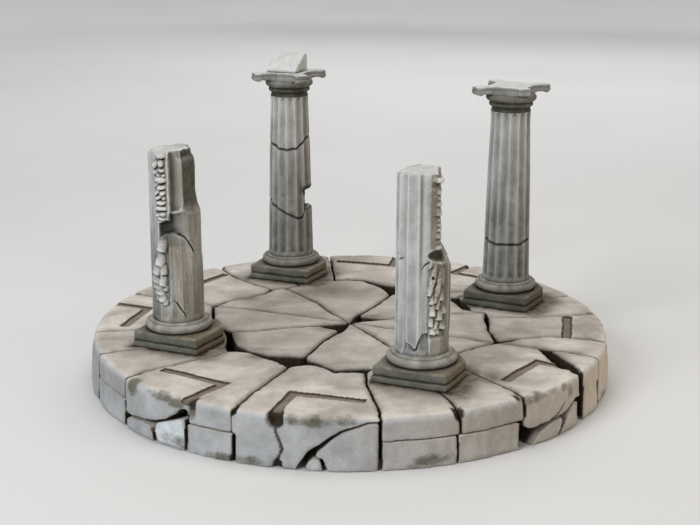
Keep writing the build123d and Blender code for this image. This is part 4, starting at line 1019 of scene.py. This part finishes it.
# ---- front-right stump: azimuth -93.2 faces the viewer
P = pts(TH, Z, 9.4)
n1 = noise(P, 3.0, 301).reshape(TH.shape)
n2 = noise(P, 1.1, 302).reshape(TH.shape)
A = TH + 2.0 * n1 + 1.0 * n2
ZA = Z + 0.35 * n1 + 0.2 * n2
R0 = np.interp(Z, [FOOT_Z, 93], [9.75, 9.45])
skin = R0 - flute(TH, Z, RIDGE["front_right"], 0.95) + 0.04 * n1
skin = skin - 0.65 * np.exp(-((TH + 98.0) / 5.0) ** 2) * step(50, 62, Z)           # one flute is cut deeper
k = inside(TH, -82, 40, 6) * (1 - step(34, 38, Z))
skin = skin * (1 - k) + (R0 - 0.42 - flute(TH, Z, RIDGE["front_right"], 0.30)) * k   # and the foot below the split is worn smooth
view = TH + 93.2
xlim = np.interp(Z, [57.5, 60, 63, 67, 70, 93], [9.9, 9.1, 7.8, 5.5, 5.2, 5.1])
side = np.where((view > 4) & (view < 176), xlim / np.maximum(np.sin(np.radians(view)), 0.05), 99)
knobs = flakes(TH - 7.0, Z, 8.9, KNOBS_FR, 311)
chs, _ = chunks(TH + 40, Z, 8.5, 4.4, 2.3, 317, 0.70, 0.0)
side = side + (1.5 * chs - 0.75) * step(65, 69, Z) * step(-42, -30, TH)
side = np.where((view > 4) & (view < 176), side + 1.02 * knobs * step(64, 66, Z) / np.maximum(np.sin(np.radians(view)), 0.05), side)
r = skin.copy()
upper_strip = inside(A, -79.0, -52, 2.6) * step(66.4, 67.6, ZA)
r = r * (1 - upper_strip) + (np.interp(TH, [-79, -70, -62, -52], [9.0, 8.75, 8.7, 8.9]) + 0.14 * n1 + 0.10 * n2) * upper_strip
r = np.where((TH > -72) & (TH < -20), np.maximum(r, 8.3 + 1.35 * knobs * step(-72, -60, TH)), r)
big = np.exp(-(((TH + 60) / 16) ** 2 + ((Z - 91.6) / 1.2) ** 2) ** 2)
gap_under = np.exp(-(((TH + 60) / 14) ** 2 + ((Z - 89.4) / 0.7) ** 2))
r = r + (0.55 * big - 0.45 * gap_under) * step(-80, -74, TH)
broken = step(0.1, 0.9, r - side)
r = np.minimum(r, side + 0.9 * big * inside(TH, -78, -30, 5))
hz = (Z - np.interp(TH, [-84, -66, -40], [64.9, 64.8, 64.2])) / np.interp(TH, [-84, -78, -62, -40], [0.35, 1.5, 2.3, 2.5])
hole = np.clip(1.15 * inside(TH, -83, -34, 4) * np.clip(1 - hz * hz + 0.10 * n2, 0, 1) ** 0.7, 0, 1)
r = r * (1 - hole) + np.minimum(r, np.interp(TH, [-84, -70, -40], [8.3, 7.3, 7.2]) + 0.3 * n1) * hole
# lower strip of flakes
lstrip = inside(A, -83, -37 + 4 * np.sin(Z * 0.55), 1.8) * inside(ZA, 35.0, 61.8 - 0.02 * np.abs(TH + 60) ** 1.4, 0.5)
leaves = flakes(TH, Z, 9.6, FLAKES_FR, 331)
pit = np.exp(-((np.radians(TH + 71.0) * 9.6 / 0.62) ** 2 + ((Z - 56.9) / 0.62) ** 2) ** 2)
r = r * (1 - lstrip) + (np.maximum(8.55 + 0.15 * n1, 8.2 + 1.85 * leaves) + 0.06 * n2) * lstrip - 0.8 * pit
r = np.maximum(r, (8.2 + 1.85 * leaves) * step(0.35, 0.5, leaves) * (1 - pit))
# the proud skin on the left ends in a V above a plain collar
vee = np.interp(TH, [-180, -137, -131, -122, -113, -107, -100, -94, -80, -60, 180], [-9, 34.7, 33.2, 32.4, 30.6, 31.0, 34.3, 36.4, 36.8, -9, -9])
collar = 1 - step(-0.25, 0.25, Z - vee - 0.2 * n2)
r = r - 0.80 * collar * inside(TH, -138, -79, 1.5)
c1 = crack_line(TH, ZA, [(-137, 34.9), (-129, 33.0), (-122, 32.3), (-113, 30.6), (-107, 30.8), (-100, 34.2), (-94, 36.4), (-82, 36.9)], [0.15, 0.42, 0.30, 0.55, 0.50, 0.36, 0.26, 0.12])
c2 = crack_line(TH, ZA, [(-176, 64.2), (-165, 63.5), (-155, 62.8), (-148, 63.4), (-143, 63.0)], [0.3, 0.42, 0.40, 0.36, 0.1])
c3 = crack_line(TH, ZA, [(-96, 60.0), (-90, 61.4), (-80, 62.8)], [0.2, 0.4, 0.4])
r = r - 0.5 * c1 - 0.7 * c2 - 0.4 * c3
r = r + 0.05 * n2 - 0.12 * np.maximum(noise(P, 1.3, 330).reshape(TH.shape) - 0.4, 0)
r = np.where(Z < FOOT_Z + 0.2, np.minimum(r, 9.7), r)
h1, h2 = cavity(r, 1)
rub = np.clip(upper_strip + lstrip + broken * step(66, 69, Z), 0, 1)
# painted shade in the hole and the pit, painted shadow under the ledge, the flakes and the knobs; the cracks are dark
dark = np.maximum(0.42 * hole ** 2, np.maximum(np.maximum(c1 * 0.8, c2), c3) ** 0.7 * 0.9)
dark = np.maximum(dark, np.maximum(0.25 * gap_under * inside(TH, -80, -40, 4), 0.8 * pit))
dark = np.maximum(dark, np.maximum(0.78 * under(leaves), 0.45 * under(knobs) * step(64, 66, Z) * inside(TH, -76, -30, 3)))
# painted shade in the hole, in the band behind the knobs and on the right side; darker also at the foot, in the deep
# flute and on the collar
stain_and_shade = 0.45 * hole + 0.10 * upper_strip * (1 - step(0.3, 0.6, knobs)) + 0.34 * (1 - step(FOOT_Z + 0.2, FOOT_Z + 1.8, Z)) + 0.25 * np.exp(-((TH + 99.0) / 3.5) ** 2) * step(45, 60, Z)
stain_and_shade = stain_and_shade + 0.22 * step(-72, -45, TH) * (1 - step(90, 130, TH)) + 0.20 * collar * inside(TH, -138, 30, 10)
# warm tint painted stronger on the right side: painted light and shade for the warm lamp
warm = 0.80 * step(-100, -60, TH) * (1 - step(90, 130, TH)) + 0.15
ca = finish_charts(r, h1, h2, dark, stain_and_shade, warm, 0.25 + 0.75 * rub)
# painted highlights on the tops of knobs and flakes, and on the left side above the collar where the light falls
ca["edge"] = np.clip(ca["edge"] + 0.42 * step(0.45, 0.9, np.maximum(0.62 * knobs * step(64, 66, Z), leaves)) + (0.16 + 0.22 * step(55, 82, Z)) * inside(TH, -172, -84, 6) * step(34, 38, Z), 0, 1) * (1 - ca["wash_and_shade"])
plane2 = lambda x, y: 92.7 - 0.035 * np.maximum(-2 - x, 0) ** 1.6 + 0.18 * np.sin(0.8 * x + 1.4) * np.cos(0.9 * y) + 0.15 * np.sin(2.1 * y - x) + 1.5 * np.exp(-(((x - 4.4) / 1.7) ** 2 + ((y + 1.0) / 2.2) ** 2) ** 2)
last = plane2(r[-1] * np.cos(np.radians(th)), r[-1] * np.sin(np.radians(th)))
Zs = FOOT_Z - 0.05 + (Z - Z[0]) / (Z[-1] - Z[0]) * (last[None, :] - FOOT_Z + 0.05)
rr = r.copy()
rr[-1] = r[-1] - 0.22
rr[-2] = r[-2] - 0.05
turned_piece("front_right_shaft", rr, Zs, th, lambda x, y: FOOT_Z - 0.05 + 0 * x, plane2, ca, top_edge=0.55)

# ---- the two whole shafts, in drums
UP_CRACK = [(-14, 79.4), (-8, 78.0), (-5, 76.4), (-1.5, 75.7), (3.5, 76.3), (6.5, 78.6), (9, 81.3), (14, 83)]
LOW_CRACK = [(-14, 54.5), (-8.5, 52.7), (-7, 51), (-2.3, 48.3), (0, 47.3), (3.5, 45.5), (5.6, 45.9), (6.4, 49.4), (14, 50.4)]
BR_CRACK = [(-14, 46.5), (-9.5, 45.8), (-6, 44.3), (0, 44.6), (5, 44.4), (6, 45.4), (14, 46)]


def crack_at(profile):
    xs, zs = [p[0] for p in profile], [p[1] for p in profile]
    fine = np.linspace(-14, 14, 200)
    zf = np.interp(fine, xs, zs) + 0.22 * noise(np.stack([fine, 0 * fine, 0 * fine + zs[0]], 1), 2.1, 401) + 0.12 * noise(np.stack([fine, 0 * fine, 0 * fine + zs[0]], 1), 0.8, 402)
    return lambda x, y: np.interp(x, fine, zf)


def drum(node, low, high, seed, notch=False, azv=-90.0):
    """A fluted drum between two uneven ends. low, high: functions of x, y giving the height of the crack, or a number."""
    col = next(c for c in TURN if node.startswith(c))
    ridge = RIDGE[col]
    lo_f = (lambda x, y: low + 0 * x) if not callable(low) else (lambda x, y: low(x, y) + 0.20)
    hi_f = (lambda x, y: high + 0 * x) if not callable(high) else (lambda x, y: high(x, y) - 0.20)
    zl = low if not callable(low) else float(low(np.zeros(1), 0)[0])
    zh = high if not callable(high) else float(high(np.zeros(1), 0)[0])
    th, zz = chart(zl, zh, 0.42, 252)
    TH = np.repeat(th[None, :], len(zz), 0)
    T = np.linspace(0, 1, len(zz))[:, None]
    rad = np.interp(zz, [FOOT_Z, 70, NECK_Z], [9.8, 8.9, 8.0])[:, None] + 0 * TH
    c, s = np.cos(np.radians(th)), np.sin(np.radians(th))
    za = lo_f(9.0 * c, 9.0 * s)
    zb = hi_f(8.9 * c, 8.9 * s)
    Z = za[None, :] * (1 - T) + zb[None, :] * T
    rad = np.interp(Z, [FOOT_Z, 70, NECK_Z], [9.8, 8.9, 8.0])
    P = pts(TH, Z, 9.0)
    n1 = noise(P, 3.0, seed).reshape(TH.shape)
    n2 = noise(P, 1.1, seed + 1).reshape(TH.shape)
    r = rad - flute(TH, Z, ridge, 0.70, 98.6) + 0.05 * n1 + 0.04 * n2
    # worn places
    r = r - 0.5 * np.maximum(fbm(P, 6.5, 3, seed + 4).reshape(TH.shape) - 0.30, 0)
    # the ends are knocked back
    da, db = Z - za[None, :], zb[None, :] - Z
    ragged = 0.55 + 0.5 * noise(P, 2.4, seed + 6).reshape(TH.shape)
    lineA = np.exp(-(da / 0.45) ** 2) if callable(low) else 0 * Z
    lineB = np.exp(-(db / 0.45) ** 2) if callable(high) else 0 * Z
    r = r - 0.42 * ragged * (lineA + lineB)
    dark = np.clip(0.85 * (np.exp(-(da / 0.35) ** 2) if callable(low) else 0 * Z) + 0.85 * (np.exp(-(db / 0.35) ** 2) if callable(high) else 0 * Z), 0, 1)
    rub = np.zeros_like(r)
    if notch:
        x = r * np.cos(np.radians(TH))
        lim = (5.9 + 0.5 * n1) / np.maximum(np.cos(np.radians(TH)), 0.2)
        hit = inside(Z + 0.5 * n1, 49.0, 57.6, 0.5) * (np.abs(TH) < 70)
        r = np.where(hit > 0, r * (1 - hit) + np.minimum(r, lim) * hit, r)
        cut = hit * step(0.05, 0.5, x - 5.9)
        rub = cut
        # painted shade under the upper edge of the notch and on its cut face
        dark = np.maximum(dark, 0.75 * inside(Z, 56.6, 59.6, 0.5) * inside(TH, -55, 20, 10))
        dark = np.maximum(dark, 0.55 * cut)
    h1, h2 = cavity(r, 1)
    lowdark = 0.34 * (1 - step(40, 84, Z)) + 0.10 * (1 - step(84, 97, Z))
    stain_and_shade = lowdark + 0.30 * (1 - step(FOOT_Z + 0.2, FOOT_Z + 1.8, Z)) + 0.30 * step(96.6, 98.0, Z)
    flu = flute(TH, Z, ridge, 1.0, 98.6)
    stain_and_shade = stain_and_shade + 0.16 * step(0.5, 1.0, flu)
    # warm tint painted stronger on the right side: painted light and shade for the warm lamp
    warm = 0.25 + 0.3 * step(-95, -50, TH) * (1 - step(70, 120, TH))
    ca = finish_charts(r, h1, h2, dark, stain_and_shade, warm, 0.35 + 0.65 * rub)
    # painted highlight on the upper part of the shaft, except on its right side
    ca["edge"] = np.clip(ca["edge"] + 0.26 * step(72, 92, Z) * (1 - step(-70, -20, TH) * (1 - step(100, 140, TH))), 0, 1) * (1 - ca["wash_and_shade"])
    return turned_piece(node, r, Z, th, lo_f, hi_f, ca)


uc, lc, bc = crack_at(UP_CRACK), crack_at(LOW_CRACK), crack_at(BR_CRACK)
drum("back_left_drum_lower", FOOT_Z, lc, 410)
drum("back_left_drum_middle", lc, uc, 420, notch=True)
drum("back_left_drum_upper", uc, NECK_Z, 430)
drum("back_right_drum_lower", FOOT_Z, bc, 440)
drum("back_right_drum_upper", bc, NECK_Z, 450)


def lathe(node, profile, cols, seed, wear=0.05, mat="column", dark_low=0.0, darken0=0.1, warm0=0.3):
    """A plain turned piece from (radius, height) points."""
    cols = int(cols / COARSE) // 2 * 2
    th = np.arange(cols) * 360.0 / cols - 180.0
    pr = np.array(profile, float)
    seg = np.concatenate([[0], np.cumsum(np.hypot(*np.diff(pr, axis=0).T))])
    t = np.linspace(0, seg[-1], max(8, int(seg[-1] / (0.20 * COARSE))))
    rr, zz = np.interp(t, seg, pr[:, 0]), np.interp(t, seg, pr[:, 1])
    for _ in range(2):
        rr[1:-1] = 0.25 * rr[:-2] + 0.5 * rr[1:-1] + 0.25 * rr[2:]
        zz[1:-1] = 0.25 * zz[:-2] + 0.5 * zz[1:-1] + 0.25 * zz[2:]
    TH = np.repeat(th[None, :], len(t), 0)
    R = np.repeat(rr[:, None], cols, 1)
    Z = np.repeat(zz[:, None], cols, 1)
    P = np.stack([(R * np.cos(np.radians(TH))).ravel(), (R * np.sin(np.radians(TH))).ravel(), Z.ravel()], 1)
    n1 = fbm(P, 4.0, 3, seed).reshape(TH.shape)
    n2 = noise(P, 1.2, seed + 9).reshape(TH.shape)
    k = np.ones(len(t))
    k[:3] = 0
    k[-3:] = 0
    R = R + wear * (1.6 * n1 + 0.8 * n2) * k[:, None] - wear
    chip = np.maximum(noise(P, 5.0, seed + 3).reshape(TH.shape) - 0.45, 0)
    R = R - 0.9 * chip * k[:, None]
    # a row is hollow where the profile bends inwards
    curve = np.zeros(len(t))
    w = 4
    for i in range(w, len(t) - w):
        curve[i] = 0.5 * (rr[i - w] + rr[i + w]) - rr[i]
    C = np.repeat(curve[:, None], cols, 1)
    wash_and_shade = np.clip(C * 1.9 - 0.08, 0, 0.85) * (0.8 + 0.4 * n1)
    stain_and_shade = np.clip(darken0 + np.clip(C * 0.9, 0, 0.4) + dark_low * (1 - step(zz.min(), zz.max(), Z)), 0, 1)
    edge = np.clip(-C * 1.1 - 0.03, 0, 0.5) * (0.6 + 0.5 * n1)
    ca = {"wash_and_shade": np.clip(wash_and_shade, 0, 1), "stain_and_shade": stain_and_shade, "edge": np.clip(edge, 0, 1), "warm": warm0 + 0 * R}
    z0, z1 = float(zz[0]), float(zz[-1])
    return turned_piece(node, R, Z, th, lambda x, y: z0 + 0 * x, lambda x, y: z1 + 0 * x, ca, mat)


for k, col in enumerate(TURN):
    half, cr = 1.6, 11.0
    prof = [(cr - 0.2, RING_Z)] + [(cr + half * math.cos(math.radians(a)), RING_Z + half + half * math.sin(math.radians(a))) for a in range(-80, 81, 10)]
    prof += [(10.95, RING_Z + 3.18), (10.72, RING_Z + 3.20), (10.85, RING_Z + 3.32), (10.9, RING_Z + 3.50), (10.75, RING_Z + 3.64), (10.42, RING_Z + 3.70), (10.45, RING_Z + 3.82), (10.2, FOOT_Z - 0.02)]
    prof = [p for p in prof if p[1] <= FOOT_Z]
    lathe(col + "_base_ring", prof, 200, 500 + 7 * k, 0.05, darken0=0.16 if k in (0, 3) else 0.34, dark_low=0.25, warm0=0.75)
for k, col in enumerate(("back_left", "back_right")):
    z = NECK_Z
    kz = (ECHINUS_Z - NECK_Z) / 4.8
    prof = [(8.0, z + 0.0 * kz), (8.0, z + 0.35 * kz), (7.75, z + 0.6 * kz), (7.6, z + 0.95 * kz), (7.9, z + 1.3 * kz), (8.55, z + 1.5 * kz), (8.9, z + 1.9 * kz), (8.85, z + 2.3 * kz), (8.5, z + 2.6 * kz), (8.6, z + 2.75 * kz), (9.2, z + 2.95 * kz), (9.9, z + 3.3 * kz), (10.2, z + 3.8 * kz), (10.15, z + 4.3 * kz), (9.8, z + 4.7 * kz), (9.6, ECHINUS_Z)]
    lathe(col + "_capital", prof, 200, 540 + 7 * k, 0.05, darken0=0.66 if k == 0 else 0.60, dark_low=0.40, warm0=0.6)


# ------------------------------------------------------------------ square-cut pieces
def weather_cut(node, voxel, mat, seed, chip=1.0, smooth=4, plinth=None, cap=False):
    v, t = read_node(node)
    voxel *= COARSE
    co, quads = remesh({0: (v, t, voxel)})[0]
    z_lo, z_hi = co[:, 2].min(), co[:, 2].max()
    net = Net(quads, len(co))
    n = normals(co, quads)
    convex = -((net.mean(co) - co) * n).sum(1) / voxel
    near_edge = np.clip(net.spread(np.maximum(convex, 0), int(2.0 / voxel)) * 7, 0, 1)
    hollow = np.clip(net.spread(np.maximum(-convex, 0), int(1.6 / voxel)) * 7, 0, 1)
    for _ in range(smooth):
        co = co + 0.6 * (net.mean(co) - co)
    n = normals(co, quads)
    up = n[:, 2]
    d = 0.06 * fbm(co, 2.6, 3, seed) + 0.10 * fbm(co, 8, 2, seed + 1) - 0.10
    d = d - near_edge * (1.6 * chip * np.maximum(fbm(co, 3.4, 3, seed + 2) - 0.05, 0) + 0.05)
    d = d - 0.25 * np.maximum(noise(co, 1.4, seed + 3) - 0.4, 0)
    wash_and_shade = np.zeros(len(co))
    stain_and_shade = 0.5 * hollow
    warm = np.zeros(len(co))
    mid = (z_lo + z_hi) / 2
    if plinth:
        # the split half way up the plinth, wide in places
        px, py = PLINTH_AT[plinth]
        a = math.radians(TURN[plinth])
        u, w = co[:, 0] - px, co[:, 1] - py
        s, q = u * math.cos(a) + w * math.sin(a), -u * math.sin(a) + w * math.cos(a)
        outer = step(11.2, 12.4, np.maximum(np.maximum(np.abs(s), np.abs(q)), s * 0.784 + q * 0.621 - 2.6))
        wav = z_lo + 2.6 + 0.30 * noise(co * np.array([1, 1, 0]), 7, seed + 11) + 0.12 * noise(co * np.array([1, 1, 0]), 2, seed + 12)
        width = 0.30 + 0.26 * np.maximum(noise(co * np.array([1, 1, 0]), 5, seed + 14), 0)
        line = np.exp(-((co[:, 2] - wav) / width) ** 2) * outer * (np.abs(up) < 0.75)
        d = d - 0.85 * line
        wash_and_shade = np.maximum(wash_and_shade, 0.95 * line ** 0.7)
        # painted contact shadow on the plinth's top round the foot of the column
        ring = np.hypot(co[:, 0] - CENTRE[plinth][0], co[:, 1] - CENTRE[plinth][1])
        stain_and_shade = np.maximum(stain_and_shade, step(0.5, 0.8, up) * (0.90 * np.exp(-np.clip(ring - 12.2, 0, 99) / 1.3)))
        # warm tint on the top, stronger on its right half, and painted warm light on the faces turned to the right
        warm = step(0.4, 0.8, up) * (0.3 + 0.4 * step(-2, 8, s))
        warm = np.maximum(warm, 0.85 * step(0.35, 0.8, n[:, 0] * math.cos(a) + n[:, 1] * math.sin(a)))
        # painted contact shadow along the plinth's foot
        wash_and_shade = np.maximum(wash_and_shade, 0.6 * (1 - step(0.0, 0.8, co[:, 2] - z_lo)) * (np.abs(up) < 0.8))
        if plinth == "back_right":
            stain_and_shade = stain_and_shade + 0.34
    if cap:
        # painted shade on the sides and undersides of the capital blocks
        stain_and_shade = np.maximum(stain_and_shade, 0.30 * (1 - step(0.35, 0.8, up)))
        wash_and_shade = np.maximum(wash_and_shade, 0.35 * step(0.5, 0.9, -up))
        warm = warm + 0.35
        line = (0.0 if "crown" in node else 1.0) * np.exp(-((co[:, 2] - (z_lo + 0.62 * (z_hi - z_lo)) - 0.2 * noise(co, 5, seed + 21)) / 0.24) ** 2) * (np.abs(up) < 0.6)
        d = d - 0.30 * line
        wash_and_shade = np.maximum(wash_and_shade, 0.45 * line)
    flat = (up < -0.6) & (co[:, 2] < z_lo + 0.3)
    d = np.where(flat, 0.0, d)
    new = co + n * d[:, None]
    new[:, 2] = np.clip(new[:, 2], z_lo, z_hi)
    if plinth:
        new[:, 2] = np.minimum(new[:, 2], RING_Z)
    edge = near_edge * step(-0.1, 0.35, fbm(co, 4, 3, seed + 31) + 0.15) * (0.55 if plinth else 0.42)
    if cap:
        # painted highlight on the top faces
        edge = np.maximum(edge, 0.54 * step(0.6, 0.9, up))
    if "crown" in node:
        edge = np.maximum(edge, 0.68 * (1 - wash_and_shade))
        stain_and_shade = 0.3 * stain_and_shade
        warm = 0.2 * warm
    edge = edge * (1 - wash_and_shade)
    at = {"wash_and_shade": np.clip(wash_and_shade, 0, 1), "stain_and_shade": np.clip(stain_and_shade, 0, 1), "edge": np.clip(edge, 0, 1), "warm": np.clip(warm, 0, 1)}
    return write(node, new, [quads], at, mat)


for k, col in enumerate(TURN):
    weather_cut(col + "_plinth", 0.40, "plinth", 600 + 40 * k, 1.0, 4, plinth=col)
weather_cut("back_left_abacus", 0.34, "column", 800, 0.8, 3, cap=True)
weather_cut("back_right_abacus", 0.34, "column", 840, 0.8, 3, cap=True)
weather_cut("back_left_crown_block", 0.34, "column", 880, 1.5, 5, cap=True)

# ------------------------------------------------------------------ CAD nodes that stay
for node, mat in [("core_disc", "core")] + [(c + "_pin", "brass") for c in TURN]:
    ob = NODES[node]
    if ob.material_slots:
        for sl in ob.material_slots:
            sl.link = "OBJECT"
            sl.material = MATS[mat]
    else:
        ob.data.materials.append(MATS[mat])

# ------------------------------------------------------------------ stage, light and camera
floor = bpy.data.meshes.new("floor")
floor.from_pydata([(-6, -6, 0), (6, -6, 0), (6, 6, 0), (-6, 6, 0)], [], [(0, 1, 2, 3)])
fg = Graph("pale_floor")
fcol = fg.mix(fg.remap(fg.noise(220, 2, 0.5), 0.3, 0.7), lin(205, 204, 202), lin(210, 209, 207))
far = fg.nt.nodes.new("ShaderNodeVectorMath")
far.operation = "LENGTH"
fg.nt.links.new(fg.co, far.inputs[0])
fg.put(fg.bsdf.inputs["Emission Color"], fcol)
fg.put(fg.bsdf.inputs["Emission Strength"], fg.math("ADD", fg.remap(far.outputs["Value"], 0.85, 1.35, 0.0, 0.42), fg.remap(far.outputs["Value"], 0.3, 0.75, 0.0, 0.10)))
floor.materials.append(fg.done(fcol, 0.9, None, 0.1))
floor_ob = bpy.data.objects.new("floor", floor)
floor_ob.location.z = -0.0002
bpy.context.scene.collection.objects.link(floor_ob)
floor_ob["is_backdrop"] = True


def area(name, loc, target, size, power, colour):
    li = bpy.data.lights.new(name, "AREA")
    li.shape = "RECTANGLE"
    li.size, li.size_y = size
    li.energy = power
    li.color = colour
    ob = bpy.data.objects.new(name, li)
    ob.location = loc
    ob.rotation_euler = (Vector(target) - Vector(loc)).to_track_quat("-Z", "Y").to_euler()
    bpy.context.scene.collection.objects.link(ob)
    ob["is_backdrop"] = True
    return ob


area("key_cool", (-0.60, -0.70, 0.62), (0, 0, 0.03), (0.50, 0.45), 7.4, (0.92, 0.96, 1.0))
area("fill_warm", (0.80, -0.45, 0.45), (0, 0, 0.03), (0.7, 0.5), 2.6, (1.0, 0.86, 0.70))
area("top_soft", (0.0, 0.10, 0.95), (0, 0, 0.0), (0.8, 0.8), 4.6, (1.0, 0.985, 0.96))
area("back_rim", (0.15, 0.95, 0.50), (0, 0, 0.04), (0.8, 0.4), 3.0, (0.96, 0.98, 1.0))

world = bpy.data.worlds.new("studio")
bpy.context.scene.world = world
world.use_nodes = True
bg = world.node_tree.nodes["Background"]
bg.inputs["Color"].default_value = (0.86, 0.88, 0.92, 1)
bg.inputs["Strength"].default_value = 0.27

cam_data = bpy.data.cameras.new("camera")
cam = bpy.data.objects.new("camera", cam_data)
cam.location = (0.0, -0.5163, 0.1896)
cam.rotation_euler = (math.radians(74.14), 0, 0)
cam_data.lens = 70.5
cam_data.sensor_width = 36
cam_data.clip_start, cam_data.clip_end = 0.01, 50
bpy.context.scene.collection.objects.link(cam)
bpy.context.scene.camera = cam
bpy.context.scene.view_settings.view_transform = "Standard"
bpy.context.scene.view_settings.look = "None"

lo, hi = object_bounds()
